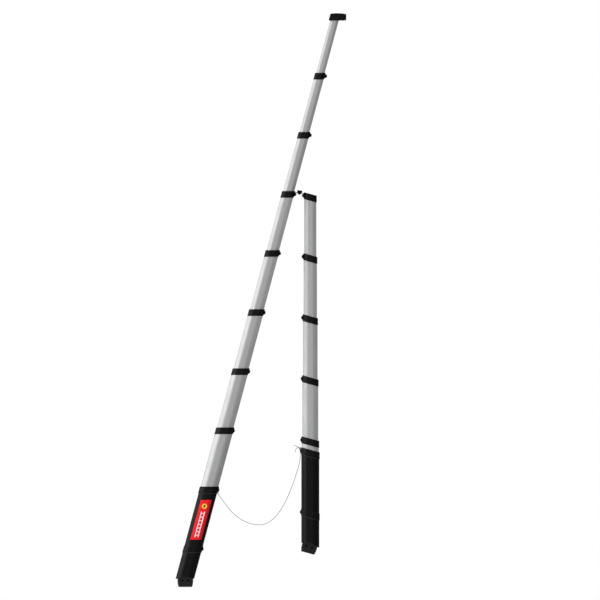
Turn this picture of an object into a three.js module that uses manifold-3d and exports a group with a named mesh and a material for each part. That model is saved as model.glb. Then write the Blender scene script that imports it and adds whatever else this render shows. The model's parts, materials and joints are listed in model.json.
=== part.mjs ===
// Telescopic combination ladder, standing as a stair ladder.
// A front ladder of eight telescoping sections leans 15 degrees. A rear ladder of five sections hangs
// from a hinge on the front ladder's seventh rung, and its lowest section is pushed in, so that the rear
// feet stand one stair riser higher than the front feet. Millimetres, +Z up, rungs along Y. The climber
// stands at -X and faces +X, so the left side is +Y and the right side is -Y.

import * as THREE from "three";
import { mergeVertices } from "three/addons/utils/BufferGeometryUtils.js";
import Module from "manifold-3d";

const wasm = await Module();
wasm.setup();

// ---------------------------------------------------------------- driving dimensions, millimetres

const LEAN = THREE.MathUtils.degToRad(15); // front ladder from the vertical, and the rungs' slant in a leg
const SLANT = Math.tan(LEAN);
const RUNG_PITCH = 300; // from rung to rung along an extended leg
const STACK_PITCH = 54.5; // from rung to rung where a section is pushed in
const FIRST_RUNG = 193; // from the foot's sole to the lowest rung, along the leg
const STILE_Y = 221; // from the middle plane to a stile's axis
const FRONT_SECTIONS = 8;
const REAR_SECTIONS = 5;
const HINGE_SECTION = 5; // the front section that carries the hinge
const GAP = 0.3; // between pieces that touch

// The base stile's outline: a flat outer face, two bevels, two sides and an inner face.
const STILE_DEPTH = 88.2; // across the two sides
const STILE_WIDTH = 78; // from the inner face to the outer face
const OUTER_FLAT = 37; // width of the outer face
const ROUNDING = 14; // the base stile's corners, 1 mm less on each section
const BASE_WALL = 1.4;
const BASE_CLEARANCE = 0.8;
const WALL = 1.8;
const CLEARANCE = 1.275; // between one tube's bore and the next tube
const TUBE_OVERLAP = 90; // length of a tube that stays inside the one below

const COLLAR_HEIGHT = 32.5; // square to the treads
const COLLAR_PROUD = 2.2; // how far a collar stands out from its tube
const LIP_DEPTH = 4; // from the collar's top down to the tube's end
const NOSE_HEIGHT = 16; // lug on the side that faces the other ladder
const NOSE_WIDTH = 24;
const NOSE_REACH = { base: 51.3, first: 49.3, step: 2.2 }; // stile axis to the lug's tip
const SOCKET_DEPTH = 46; // block on a collar's inner side that takes the rung's end
const SOCKET_LENGTH = 16;

const TREAD_DEPTH = 42;
const TREAD_HEIGHT = 28;
const TREAD_TOP = 14.5; // above the collar's middle
const TREAD_WALL = 3;
const RUNG_FOOT_DEPTH = 32; // the rung is narrower at its lower edge

const CAP = { front: 30, rear: 53.6, low: -17, high: 19.2, rearHigh: 15.8, halfWidth: 19.5, roof: 6 };

const SHOE = { sole: 67, width: 76.7, rise: 41, bulge: 26, offset: 13.1, tongueTop: 52, tongueProud: 2, plug: 36 };

const HINGE = { x: 57.1, z: 9, pinRadius: 4, boreRadius: 4.3, barrelRadius: 9.5, y: 110, strapWidth: 36,
  strapThickness: 3, barrelLength: 11, middleLength: 13, plateLength: 262, plateHeight: 20, strapEnd: 12.5 };

const BUTTON = { y: 150, length: 26, height: 12, depth: 7, pocketDepth: 3.4, travel: 9, clearance: 0.5 };

const CORD_DIAMETER = 3;
const CORD_SIDES = 8;
const CORD_STEPS = 78;
// The restraint cord's route in the X, Z plane, from the front base stile to the rear base stile.
const CORD_ROUTE = [
  [-212.6, 457], [-203, 446], [-184, 420], [-164, 393], [-145, 370], [-125, 352], [-105, 337],
  [-86, 325], [-66, 316], [-46, 310], [-27, 306.5], [-7, 305], [12, 307], [32, 314.5], [52, 327.5],
  [71, 345], [91, 370], [110, 400], [130, 440], [146, 478], [162, 521], [176, 564], [185, 594],
  [190.5, 622], [192.9, 640], [193.5, 651],
];

const BASE_RUNG = FIRST_RUNG + RUNG_PITCH; // the base's upper rung, where the first section comes out
const STEP_IN = WALL + CLEARANCE;

// ---------------------------------------------------------------- materials

function finish(color, roughness, metalness) {
  return new THREE.MeshStandardMaterial({ color, roughness, metalness });
}

const ALUMINIUM = finish(0xb9bcbf, 0.38, 0.9);
const BLACK_COAT = finish(0x1b1b1c, 0.5, 0.3);
const BLACK_PLASTIC = finish(0x141415, 0.55, 0.0);
const RUBBER = finish(0x222223, 0.85, 0.0);
const STEEL = finish(0x8d9094, 0.35, 0.9);
const BUTTON_RED = finish(0xb5121b, 0.45, 0.0);
const CORD_GREY = finish(0xa9a9a6, 0.9, 0.0);

// ---------------------------------------------------------------- solids

// A closed geometry as a manifold-3d solid.
function solid(geometry) {
  const plain = geometry.clone();
  plain.deleteAttribute("normal");
  plain.deleteAttribute("uv");
  const merged = mergeVertices(plain, 1e-4);
  return new wasm.Manifold(
    new wasm.Mesh({
      numProp: 3,
      vertProperties: new Float32Array(merged.attributes.position.array),
      triVerts: new Uint32Array(merged.index.array),
    }),
  );
}

// A manifold-3d solid as a three.js geometry.
function geometryOf(body) {
  const { vertProperties, triVerts } = body.getMesh();
  const indexed = new THREE.BufferGeometry();
  indexed.setAttribute("position", new THREE.BufferAttribute(new Float32Array(vertProperties), 3));
  indexed.setIndex(new THREE.BufferAttribute(new Uint32Array(triVerts), 1));
  const flat = indexed.toNonIndexed();
  flat.computeVertexNormals();
  return flat;
}

function joined(...bodies) {
  return bodies.reduce((sum, body) => sum.add(body));
}

function box(x0, x1, y0, y1, z0, z1) {
  const block = new THREE.BoxGeometry(x1 - x0, y1 - y0, z1 - z0);
  return block.translate((x0 + x1) / 2, (y0 + y1) / 2, (z0 + z1) / 2);
}

// Extrudes an outline of [x, z] points along Y, from y0 to y1.
function alongY(points, y0, y1) {
  const shape = new THREE.Shape(points.map(([x, z]) => new THREE.Vector2(x, -z)));
  const prism = new THREE.ExtrudeGeometry(shape, { depth: y1 - y0, bevelEnabled: false });
  return prism.rotateX(-Math.PI / 2).translate(0, y0, 0);
}

function rodAlongY(x, z, radius, y0, y1, sides = 16) {
  return new THREE.CylinderGeometry(radius, radius, y1 - y0, sides).translate(x, (y0 + y1) / 2, z);
}

// Turns a geometry from the treads' frame, where a tread is level, into the leg's frame.
function intoLeg(geometry) {
  return geometry.applyMatrix4(new THREE.Matrix4().makeRotationY(-LEAN));
}

// ---------------------------------------------------------------- the stile's outline

// The stile's outline as [x, y] points, drawn in by inset from the base stile's outside, with y pointing
// away from the ladder's middle. Each corner is an arc of two or three points.
function stileOutline(inset, rounding) {
  const halfDepth = STILE_DEPTH / 2 - inset;
  const halfWidth = STILE_WIDTH / 2 - inset;
  const eighth = Math.tan(Math.PI / 8);
  const halfFlat = OUTER_FLAT / 2 - inset * eighth;
  const bevelFoot = STILE_WIDTH / 2 - (STILE_DEPTH - OUTER_FLAT) / 2 - inset * eighth;
  const corners = [
    [halfFlat, halfWidth, 1], [-halfFlat, halfWidth, 1], [-halfDepth, bevelFoot, 1],
    [-halfDepth, -halfWidth, 2], [halfDepth, -halfWidth, 2], [halfDepth, bevelFoot, 1],
  ];
  const points = [];
  corners.forEach(([x, y, steps], i) => {
    const before = corners.at(i - 1);
    const after = corners[(i + 1) % corners.length];
    const inward = new THREE.Vector2(x - before[0], y - before[1]).normalize();
    const onward = new THREE.Vector2(after[0] - x, after[1] - y).normalize();
    const turn = Math.acos(THREE.MathUtils.clamp(inward.dot(onward), -1, 1));
    const reach = rounding * Math.tan(turn / 2);
    const start = new THREE.Vector2(x, y).addScaledVector(inward, -reach);
    const centre = start.clone().add(new THREE.Vector2(-inward.y, inward.x).multiplyScalar(rounding));
    for (let step = 0; step <= steps; step++)
      points.push(start.clone().rotateAround(centre, (turn * step) / steps));
  });
  return points;
}

// A prism of the stile's outline from z0 to z1, each end square to the leg or slanted with the treads.
function stilePrism(inset, rounding, z0, z1, slantLow, slantHigh) {
  const shape = new THREE.Shape(stileOutline(inset, rounding));
  const prism = new THREE.ExtrudeGeometry(shape, { depth: 1, bevelEnabled: false });
  const at = prism.attributes.position;
  for (let i = 0; i < at.count; i++) {
    const high = at.getZ(i) > 0.5;
    const slant = high ? slantHigh : slantLow;
    at.setZ(i, (high ? z1 : z0) + (slant ? SLANT * at.getX(i) : 0));
  }
  return prism;
}

function sectionInset(section) {
  return section === 0 ? 0 : BASE_WALL + BASE_CLEARANCE + (section - 1) * STEP_IN;
}

function sectionRounding(section) {
  return ROUNDING - section;
}

// The tube of a section, with its upper end at height top. Section 0 is the base stile.
function stileTube(section, bottom, top) {
  const inset = sectionInset(section);
  const wall = section === 0 ? BASE_WALL : WALL;
  const rounding = sectionRounding(section);
  const slantLow = section === 0;
  const outside = solid(stilePrism(inset, rounding, bottom, top, slantLow, true));
  const bore = solid(stilePrism(inset + wall, rounding - wall, bottom - 1, top + 1, slantLow, true));
  return geometryOf(outside.subtract(bore));
}

// ---------------------------------------------------------------- rungs with their collars

function rungBar(halfLength) {
  const low = TREAD_TOP - TREAD_HEIGHT;
  const outside = [
    [-RUNG_FOOT_DEPTH / 2, low], [RUNG_FOOT_DEPTH / 2, low], [TREAD_DEPTH / 2, low + 10],
    [TREAD_DEPTH / 2, TREAD_TOP], [-TREAD_DEPTH / 2, TREAD_TOP], [-TREAD_DEPTH / 2, low + 10],
  ];
  const hollow = [
    [-RUNG_FOOT_DEPTH / 2 + TREAD_WALL, low - 1], [RUNG_FOOT_DEPTH / 2 - TREAD_WALL, low - 1],
    [TREAD_DEPTH / 2 - TREAD_WALL, low + 11], [TREAD_DEPTH / 2 - TREAD_WALL, TREAD_TOP - TREAD_WALL],
    [-TREAD_DEPTH / 2 + TREAD_WALL, TREAD_TOP - TREAD_WALL], [-TREAD_DEPTH / 2 + TREAD_WALL, low + 11],
  ];
  const bar = solid(intoLeg(alongY(outside, -halfLength, halfLength)));
  return bar.subtract(solid(intoLeg(alongY(hollow, -halfLength + 8, halfLength - 8))));
}

function noseReach(section) {
  return section === 0 ? NOSE_REACH.base : NOSE_REACH.first - (section - 1) * NOSE_REACH.step;
}

// A collar's lug, in the treads' frame: a rounded nose at mid-height.
function nose(section) {
  const tip = noseReach(section) / Math.cos(LEAN);
  const root = tip - 14;
  const half = NOSE_HEIGHT / 2;
  const outline = [
    [root, -half - 2], [tip - 6, -half], [tip - 1.5, -half / 2], [tip - 0.6, 1.5],
    [tip - 1.8, half / 2 + 2], [tip - 5, half + 1], [root, half + 4],
  ];
  return solid(intoLeg(alongY(outline, -NOSE_WIDTH / 2, NOSE_WIDTH / 2)));
}

// One collar about a stile axis at y = 0, with its outer side towards +Y.
function collar(section) {
  const inset = sectionInset(section);
  const rounding = sectionRounding(section);
  const half = COLLAR_HEIGHT / 2 / Math.cos(LEAN);
  const innerFace = STILE_WIDTH / 2 - inset + COLLAR_PROUD;
  const outside = solid(stilePrism(inset - COLLAR_PROUD, rounding + COLLAR_PROUD, -half, half, true, true));
  const socket = box(-SOCKET_DEPTH / 2, SOCKET_DEPTH / 2, -innerFace - SOCKET_LENGTH, -innerFace + 1.2, -15, 15.5);
  const bore = solid(stilePrism(inset - GAP, rounding + GAP, -half - 20, half + 20, true, true));
  return joined(outside, solid(intoLeg(socket)), nose(section)).subtract(bore);
}

// Both collars of a rung and the rung between them, as one solid in the leg's frame.
function collaredRung(section) {
  const right = collar(section).mirror([0, 1, 0]).translate([0, -STILE_Y, 0]);
  const left = collar(section).translate([0, STILE_Y, 0]);
  const faceY = STILE_Y - (STILE_WIDTH / 2 - sectionInset(section)) - COLLAR_PROUD - SOCKET_LENGTH;
  return joined(left, right, rungBar(faceY + 6));
}

// The same, with a pocket in the outer side of the rung for each release button.
function pocketedRung() {
  let body = collaredRung(0);
  const halfLength = BUTTON.length / 2 + BUTTON.travel / 2 + BUTTON.clearance;
  const halfHeight = BUTTON.height / 2 + BUTTON.clearance;
  const face = -SOCKET_DEPTH / 2;
  for (const side of [-1, 1]) {
    const middle = side * (BUTTON.y - BUTTON.travel / 2);
    const block = box(face, face + 8, middle - halfLength - 3, middle + halfLength + 3, -9, 12);
    const pocket = box(face - 10, face + BUTTON.pocketDepth, middle - halfLength, middle + halfLength,
      -halfHeight + 2, halfHeight + 2);
    body = body.add(solid(intoLeg(block))).subtract(solid(intoLeg(pocket)));
  }
  return body;
}

// The top rung: each end is a cap that closes the stile and reaches back to rest on a wall.
function topRung() {
  const { front, rear, low, high, rearHigh, halfWidth, roof } = CAP;
  const outline = [
    [-front - 3, low], [rear, low], [rear, rearHigh], [18, high - 0.8], [4, high], [-10, high - 0.8],
    [-front + 6, high - 2.4], [-front + 1.5, high - 7],
  ];
  const inset = sectionInset(FRONT_SECTIONS);
  const rounding = sectionRounding(FRONT_SECTIONS);
  const bore = solid(stilePrism(inset - GAP, rounding + GAP, -60, high - roof, true, true));
  const cap = solid(intoLeg(alongY(outline, -halfWidth, halfWidth))).subtract(bore);
  return joined(
    cap.translate([0, STILE_Y, 0]),
    cap.mirror([0, 1, 0]).translate([0, -STILE_Y, 0]),
    rungBar(STILE_Y - halfWidth + 3),
  );
}

// ---------------------------------------------------------------- feet

// A rubber shoe, in the treads' frame: a block under the stile, a plug inside it, and an arched tongue
// on the stile's outer face. Its outer side is towards +Y.
function shoe() {
  const { sole, width, rise, bulge, offset, tongueTop, tongueProud, plug } = SHOE;
  const side = (x) => [
    [offset + x * (sole / 2), 0],
    [offset + x * (width / 2 - 1.5), bulge / 2],
    [offset + x * (width / 2), bulge],
    [offset + x * (width / 2), rise],
  ];
  const block = [...side(1), ...side(-1).reverse()];
  const outerFace = STILE_WIDTH / 2 + tongueProud;
  const innerFace = -STILE_WIDTH / 2 + 8;
  const arch = [[offset + width / 2 - 1, rise - 8]];
  for (let i = 0; i <= 6; i++) {
    const angle = (Math.PI * i) / 6;
    arch.push([offset + (width / 2 - 4) * Math.cos(angle), rise + (tongueTop - rise) * Math.sin(angle)]);
  }
  arch.push([offset - width / 2 + 1, rise - 8]);
  const clear = solid(stilePrism(-GAP, ROUNDING + GAP, (rise + GAP) / Math.cos(LEAN), 200, true, true));
  const stopper = solid(
    stilePrism(BASE_WALL + GAP, ROUNDING - BASE_WALL - GAP, (rise - 1) / Math.cos(LEAN), rise + plug, true, false));
  const tongue = solid(intoLeg(alongY(arch, 8, outerFace))).subtract(clear);
  const body = solid(intoLeg(alongY(block, innerFace, outerFace)));
  const hollow = solid(
    stilePrism(BASE_WALL + GAP + 6, 6, rise / Math.cos(LEAN) + 4, rise + plug + 1, true, false));
  return joined(body, tongue, stopper.subtract(hollow));
}

// ---------------------------------------------------------------- hinge

// A hinge leaf in its own ladder's tread frame: a plate on the rung's back, two straps and their barrels.
// spans lists each barrel's [low, high] about a strap's middle, along Y.
function hingeLeaf(spans) {
  const { x, z, boreRadius, barrelRadius, y, strapWidth, strapThickness, plateLength, plateHeight, strapEnd } = HINGE;
  const back = TREAD_DEPTH / 2 + GAP;
  const top = z + strapThickness / 2;
  const parts = [
    solid(box(back, back + strapThickness, -plateLength / 2, plateLength / 2, top - plateHeight, top)),
  ];
  const bores = [];
  for (const side of [-1, 1]) {
    const middle = side * y;
    parts.push(
      solid(box(back + 1, x - strapEnd, middle - strapWidth / 2, middle + strapWidth / 2, top - strapThickness, top)),
    );
    for (const [low, high] of spans) {
      parts.push(solid(rodAlongY(x, z, barrelRadius, middle + low, middle + high)));
      parts.push(solid(box(x - strapEnd - 1, x - 2, middle + low, middle + high, z - 3.5, z + 3.5)));
    }
    bores.push(solid(rodAlongY(x, z, boreRadius, middle - strapWidth, middle + strapWidth)));
  }
  return solid(intoLeg(geometryOf(bores.reduce((body, bore) => body.subtract(bore), joined(...parts)))));
}

function hingeAxle() {
  const end = HINGE.y + HINGE.strapWidth / 2 + 2;
  const rod = solid(rodAlongY(HINGE.x, HINGE.z, HINGE.pinRadius, -end, end));
  const head = (y0, y1) => solid(rodAlongY(HINGE.x, HINGE.z, 7.5, y0, y1));
  return solid(intoLeg(geometryOf(joined(rod, head(-end - 3, -end), head(end, end + 3)))));
}

// ---------------------------------------------------------------- release buttons and cord

// A thumb button in the treads' frame of the base's upper rung.
function releaseButton(side) {
  const face = -SOCKET_DEPTH / 2;
  const middle = side * BUTTON.y;
  const outline = [
    [face - BUTTON.depth + 3, 2 - BUTTON.height / 2], [face + BUTTON.pocketDepth - GAP, 2 - BUTTON.height / 2],
    [face + BUTTON.pocketDepth - GAP, 2 + BUTTON.height / 2], [face - BUTTON.depth + 3, 2 + BUTTON.height / 2],
  ];
  return intoLeg(alongY(outline, middle - BUTTON.length / 2, middle + BUTTON.length / 2));
}

function restraintCord(y) {
  const route = new THREE.CatmullRomCurve3(CORD_ROUTE.map(([x, z]) => new THREE.Vector3(x, y, z)), false, "centripetal");
  const section = new THREE.Shape();
  for (let i = 0; i < CORD_SIDES; i++) {
    const angle = (2 * Math.PI * i) / CORD_SIDES;
    const at = [(CORD_DIAMETER / 2) * Math.cos(angle), (CORD_DIAMETER / 2) * Math.sin(angle)];
    if (i === 0) section.moveTo(...at);
    else section.lineTo(...at);
  }
  section.closePath();
  return new THREE.ExtrudeGeometry(section, { steps: CORD_STEPS, extrudePath: route, bevelEnabled: false });
}

// ---------------------------------------------------------------- assembly

const ladder = new THREE.Group();

function add(group, name, geometry, material, z = 0) {
  const mesh = new THREE.Mesh(geometry, material);
  mesh.name = name;
  mesh.position.z = z;
  group.add(mesh);
  return mesh;
}

// The sides of a leg: its own +Y and -Y sides, and what they are called on the whole ladder.
function sidesOf(leg) {
  return leg === "front" ? [["left", 1], ["right", -1]] : [["left", -1], ["right", 1]];
}

// A geometry made for the +Y side, on the side asked for.
function onSide(body, side) {
  const placed = side > 0 ? body : body.mirror([0, 1, 0]);
  return geometryOf(placed.translate([0, side * STILE_Y, 0]));
}

// A base with its two rungs, its feet and its buttons, in the leg's frame with its sole at the origin.
function addBase(group, leg) {
  const bottom = (SHOE.rise + GAP) / Math.cos(LEAN);
  const top = BASE_RUNG + COLLAR_HEIGHT / 2 - LIP_DEPTH;
  for (const [word, side] of sidesOf(leg)) {
    add(group, `${leg}_base_stile_${word}`, onSide(solid(stileTube(0, bottom, top)), side), BLACK_COAT);
    add(group, `${leg}_foot_${word}`, onSide(shoe(), side), RUBBER);
    add(group, `${leg}_release_button_${word}`, releaseButton(side), BUTTON_RED, BASE_RUNG);
  }
  add(group, `${leg}_rung_1`, geometryOf(collaredRung(0)), BLACK_PLASTIC, FIRST_RUNG);
  add(group, `${leg}_rung_2`, geometryOf(pocketedRung()), BLACK_PLASTIC, BASE_RUNG);
}

// A telescoping section whose upper rung is at height rungZ: two stile tubes and that rung.
function addSection(group, leg, section, rungZ) {
  const isTop = leg === "front" && section === FRONT_SECTIONS;
  const top = isTop ? CAP.high - CAP.roof - 1 : COLLAR_HEIGHT / 2 - LIP_DEPTH;
  const tube = solid(stileTube(section, -RUNG_PITCH - TUBE_OVERLAP, top));
  for (const [word, side] of sidesOf(leg))
    add(group, `${leg}_stile_${section}_${word}`, onSide(tube, side), ALUMINIUM, rungZ);
  add(group, `${leg}_rung_${section + 2}`, geometryOf(isTop ? topRung() : collaredRung(section)), BLACK_PLASTIC, rungZ);
}

// The front ladder, every section out and locked.
const front = new THREE.Group();
front.rotation.y = LEAN;
addBase(front, "front");
for (let section = 1; section <= FRONT_SECTIONS; section++)
  addSection(front, "front", section, BASE_RUNG + section * RUNG_PITCH);

// The rear ladder, facing the other way, with its first section pushed into the base.
const rear = new THREE.Group();
const rearRung = (section) => BASE_RUNG + STACK_PITCH + (section - 1) * RUNG_PITCH;
rear.rotation.z = Math.PI;
addBase(rear, "rear");
for (let section = 1; section <= REAR_SECTIONS; section++) addSection(rear, "rear", section, rearRung(section));

// Both ladders meet at the hinge's axle.
const frontHingeZ = BASE_RUNG + HINGE_SECTION * RUNG_PITCH;
const rearHingeZ = rearRung(REAR_SECTIONS);
const half = HINGE.strapWidth / 2;
const outerBarrels = [[-half, -half + HINGE.barrelLength], [half - HINGE.barrelLength, half]];
const middleBarrel = [[-HINGE.middleLength / 2, HINGE.middleLength / 2]];
add(front, "hinge_front_leaf", geometryOf(hingeLeaf(outerBarrels)), STEEL, frontHingeZ);
add(front, "hinge_axle", geometryOf(hingeAxle()), STEEL, frontHingeZ);
add(rear, "hinge_rear_leaf", geometryOf(hingeLeaf(middleBarrel)), STEEL, rearHingeZ);

// The pivot's place in a leg's frame, from the rung that carries it.
const pivot = new THREE.Vector3(HINGE.x, 0, HINGE.z).applyAxisAngle(new THREE.Vector3(0, 1, 0), -LEAN);
const pivotX = (frontHingeZ + pivot.z) * Math.sin(LEAN) + pivot.x * Math.cos(LEAN);
const pivotZ = (frontHingeZ + pivot.z) * Math.cos(LEAN) - pivot.x * Math.sin(LEAN);
rear.position.set(pivotX + pivot.x, 0, pivotZ - pivot.z - rearHingeZ);
ladder.add(front, rear);

// The origin is on the ground, in the middle of the ladder's length.
const extent = new THREE.Box3().setFromObject(ladder, true);
const middleX = (extent.min.x + extent.max.x) / 2;
front.position.x -= middleX;
rear.position.x -= middleX;

for (const [word, side] of sidesOf("front"))
  add(ladder, `restraint_cord_${word}`, restraintCord(side * STILE_Y), CORD_GREY);

export default ladder;
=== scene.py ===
"""The looks of a telescopic combination ladder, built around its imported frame.

A leg is drawn in its own frame, in millimetres: x towards the other ladder, y across the ladder and z up
along the leg, with the sole at the origin. What belongs to a tread is drawn in the treads' frame, which is
the leg's frame turned so that a tread lies level. A finished piece is in the row's frame, in metres.
"""

import json
import logging
import math
from collections.abc import Iterator, Sequence
from dataclasses import dataclass
from enum import Enum

import bmesh
import bpy
import numpy as np
from mathutils import Matrix, Vector


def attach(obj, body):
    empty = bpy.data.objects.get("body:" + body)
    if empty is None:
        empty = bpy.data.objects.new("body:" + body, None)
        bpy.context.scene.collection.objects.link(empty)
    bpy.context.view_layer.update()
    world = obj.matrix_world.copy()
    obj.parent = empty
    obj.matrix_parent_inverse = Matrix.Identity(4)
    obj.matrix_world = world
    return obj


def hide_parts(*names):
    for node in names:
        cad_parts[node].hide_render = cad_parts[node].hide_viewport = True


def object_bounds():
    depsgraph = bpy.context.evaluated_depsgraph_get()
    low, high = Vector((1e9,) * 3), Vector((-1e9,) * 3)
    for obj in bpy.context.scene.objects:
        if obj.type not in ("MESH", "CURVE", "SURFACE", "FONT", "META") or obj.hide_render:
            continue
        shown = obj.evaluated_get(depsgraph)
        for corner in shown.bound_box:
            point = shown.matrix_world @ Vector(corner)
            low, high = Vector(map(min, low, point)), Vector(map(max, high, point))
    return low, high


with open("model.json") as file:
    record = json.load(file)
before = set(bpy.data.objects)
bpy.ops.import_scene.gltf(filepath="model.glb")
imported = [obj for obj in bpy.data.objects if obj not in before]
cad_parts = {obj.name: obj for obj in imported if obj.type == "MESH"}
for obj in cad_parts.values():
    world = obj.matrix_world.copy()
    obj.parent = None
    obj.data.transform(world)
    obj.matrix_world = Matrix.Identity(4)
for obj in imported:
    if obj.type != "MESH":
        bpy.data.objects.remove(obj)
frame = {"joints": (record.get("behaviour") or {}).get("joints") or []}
CAD_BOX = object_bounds()
LOG = logging.getLogger("ladder")

MM = 0.001
Corner = tuple[float, float, float]
Socket = bpy.types.NodeSocket


# ---------------------------------------------------------------- where things are


class Side(Enum):
    """A side of the whole ladder, with the sign of its Y in the row's frame."""

    LEFT = 1
    RIGHT = -1

    @property
    def word(self) -> str:
        """The side's word in the names of pieces."""
        return self.name.lower()


@dataclass(frozen=True)
class Stile:
    """The sizes of the stiles' tubes, in millimetres. Section 0 is the base stile."""

    depth: float = 88.2
    width: float = 78.0
    outer_flat: float = 37.0
    rounding: float = 14.0
    softness: float = 1.75
    base_wall: float = 1.4
    base_clearance: float = 0.8
    wall: float = 1.8
    clearance: float = 1.275
    y: float = 221.0

    def inset(self, section: int) -> float:
        """How far a section's outside lies inside the base stile's outside."""
        if section == 0:
            return 0.0
        return self.base_wall + self.base_clearance + (section - 1) * (self.wall + self.clearance)

    def round(self, section: int) -> float:
        """The radius of a section's outer corners."""
        return self.rounding - section

    def wall_of(self, section: int) -> float:
        """A section's wall."""
        return self.wall if section else self.base_wall

    def reach_in(self, section: int) -> float:
        """How far the next tube's outside lies inside this section's outside."""
        return self.inset(section + 1) - self.inset(section)

    def outline(self, section: int, out: float) -> np.ndarray:
        """A line round a section's tube, with as many points at every section.

        Args:
            section: the tube that it goes round.
            out: how far it stands out from the tube's outside.

        Returns:
            Points (x, y), with y away from the ladder's middle.
        """
        inset, tight = self.inset(section) - out, self.round(section)
        inner, outer = max(tight + out, 0.3), self.softness * tight + out
        half_depth = self.depth / 2 - inset
        half_width = self.width / 2 - inset
        eighth = math.tan(math.pi / 8)
        half_flat = self.outer_flat / 2 - inset * eighth
        bevel_foot = self.width / 2 - (self.depth - self.outer_flat) / 2 - inset * eighth
        return filleted([
            (half_flat, half_width, outer), (-half_flat, half_width, outer), (-half_depth, bevel_foot, outer),
            (-half_depth, -half_width, inner), (half_depth, -half_width, inner),
            (half_depth, bevel_foot, outer),
        ])

    def ring(self, section: int, out: float, height: float, slanted: bool = True) -> np.ndarray:
        """A ring round a section's tube.

        Args:
            section: the tube that it goes round.
            out: how far it stands out from the tube's outside.
            height: its height at the stile's axis.
            slanted: whether it lies in the treads' plane, or square to the leg.

        Returns:
            Points (x, y, z) about the stile's axis, in the leg's frame.
        """
        flat = self.outline(section, out)
        rise = flat[:, 0] * math.tan(LEAN) if slanted else np.zeros(len(flat))
        return np.column_stack([flat, height + rise])


@dataclass(frozen=True)
class Leg:
    """One of the two ladders, and where it stands.

    Args:
        name: front or rear.
        root: the middle of its sole line, in the row's frame, in metres.
        turn: from the leg's frame to the row's frame.
        own_side: the row's side that is the leg's own +Y side.
        rungs: the height of each rung in the leg, in millimetres, from the ground up.
    """

    name: str
    root: Vector
    turn: Matrix
    own_side: Side
    rungs: tuple[float, ...]

    def at(self, height: float = 0.0) -> Matrix:
        """From the leg's frame, at a height in the leg, to the row's frame."""
        lift = Matrix.Translation((0, 0, height))
        return Matrix.Translation(self.root) @ self.turn @ Matrix.Scale(MM, 4) @ lift

    def tread(self, rung: int) -> Matrix:
        """From the treads' frame of a rung, counted from 1, to the row's frame."""
        return self.at(self.rungs[rung - 1]) @ TO_LEG

    def sign(self, side: Side) -> int:
        """The sign of Y in the leg's frame on a side of the ladder."""
        return 1 if side is self.own_side else -1

    def body(self, section: int) -> str:
        """The CAD body of a section. Section 0 is the base."""
        return f"{self.name}_section_{section}" if section else f"{self.name}_base"

    def body_of_rung(self, rung: int) -> str:
        """The CAD body that carries a rung."""
        return self.body(max(0, rung - 2))

    @property
    def sections(self) -> int:
        """How many sections telescope out of the base."""
        return len(self.rungs) - 2


def joint(name: str) -> dict:
    """The record's joint of that name."""
    return next(j for j in frame["joints"] if j["name"] == name)


STILE = Stile()
_slide = Vector(joint("front_slide_1")["axis"])
LEAN = math.atan2(_slide.x, _slide.z)
TO_LEG = Matrix.Rotation(-LEAN, 4, "Y")
PIVOT = Vector(joint("rear_fold")["pos_m"])

RUNG_PITCH = 300.0
STACK_PITCH = 54.5
FIRST_RUNG = 193.0
BASE_RUNG = FIRST_RUNG + RUNG_PITCH
FRONT_SECTIONS = 8
REAR_SECTIONS = 5
HINGE_SECTION = 5
HINGE_X = 57.1
HINGE_Z = 9.0


def leg_at_hinge(name: str, turn: Matrix, own_side: Side, rungs: tuple[float, ...], hinge_rung: int) -> Leg:
    """A leg, placed by the hinge's pivot.

    Args:
        name: front or rear.
        turn: from the leg's frame to the row's frame.
        own_side: the row's side that is the leg's own +Y side.
        rungs: the heights of its rungs.
        hinge_rung: the rung that carries the hinge, counted from 1.
    """
    pivot = TO_LEG @ Vector((HINGE_X, 0, HINGE_Z)) + Vector((0, 0, rungs[hinge_rung - 1]))
    return Leg(name, PIVOT - turn @ (pivot * MM), turn, own_side, rungs)


FRONT = leg_at_hinge(
    "front", Matrix.Rotation(LEAN, 4, "Y"), Side.LEFT,
    (FIRST_RUNG, BASE_RUNG, *(BASE_RUNG + RUNG_PITCH * k for k in range(1, FRONT_SECTIONS + 1))),
    HINGE_SECTION + 2,
)
REAR = leg_at_hinge(
    "rear", Matrix.Rotation(math.pi, 4, "Z"), Side.RIGHT,
    (FIRST_RUNG, BASE_RUNG, *(BASE_RUNG + STACK_PITCH + RUNG_PITCH * k for k in range(REAR_SECTIONS))),
    REAR_SECTIONS + 2,
)


# ---------------------------------------------------------------- outlines


def filleted(corners: Sequence[Corner], step: float = math.radians(7.5)) -> np.ndarray:
    """Rounds the corners of a closed outline.

    Args:
        corners: (x, y, radius) of each corner, in order.
        step: the turn from point to point round an arc.

    Returns:
        Points (x, y) of the rounded outline.
    """
    points = []
    places = np.array([corner[:2] for corner in corners], float)
    for i, (here, (_, _, radius)) in enumerate(zip(places, corners)):
        inward = here - places[i - 1]
        onward = places[(i + 1) % len(places)] - here
        inward, onward = inward / np.linalg.norm(inward), onward / np.linalg.norm(onward)
        turn = math.atan2(inward[0] * onward[1] - inward[1] * onward[0], float(inward @ onward))
        if radius <= 0 or abs(turn) < 1e-3:
            points.append(here)
            continue
        start = here - inward * radius * math.tan(abs(turn) / 2)
        normal = np.array([-inward[1], inward[0]]) * math.copysign(radius, turn)
        centre = start + normal
        steps = max(2, math.ceil(abs(turn) / step - 1e-6))
        for k in range(steps + 1):
            angle = turn * k / steps
            c, s = math.cos(angle), math.sin(angle)
            spoke = start - centre
            points.append(centre + np.array([c * spoke[0] - s * spoke[1], s * spoke[0] + c * spoke[1]]))
    return np.array(points)


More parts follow.
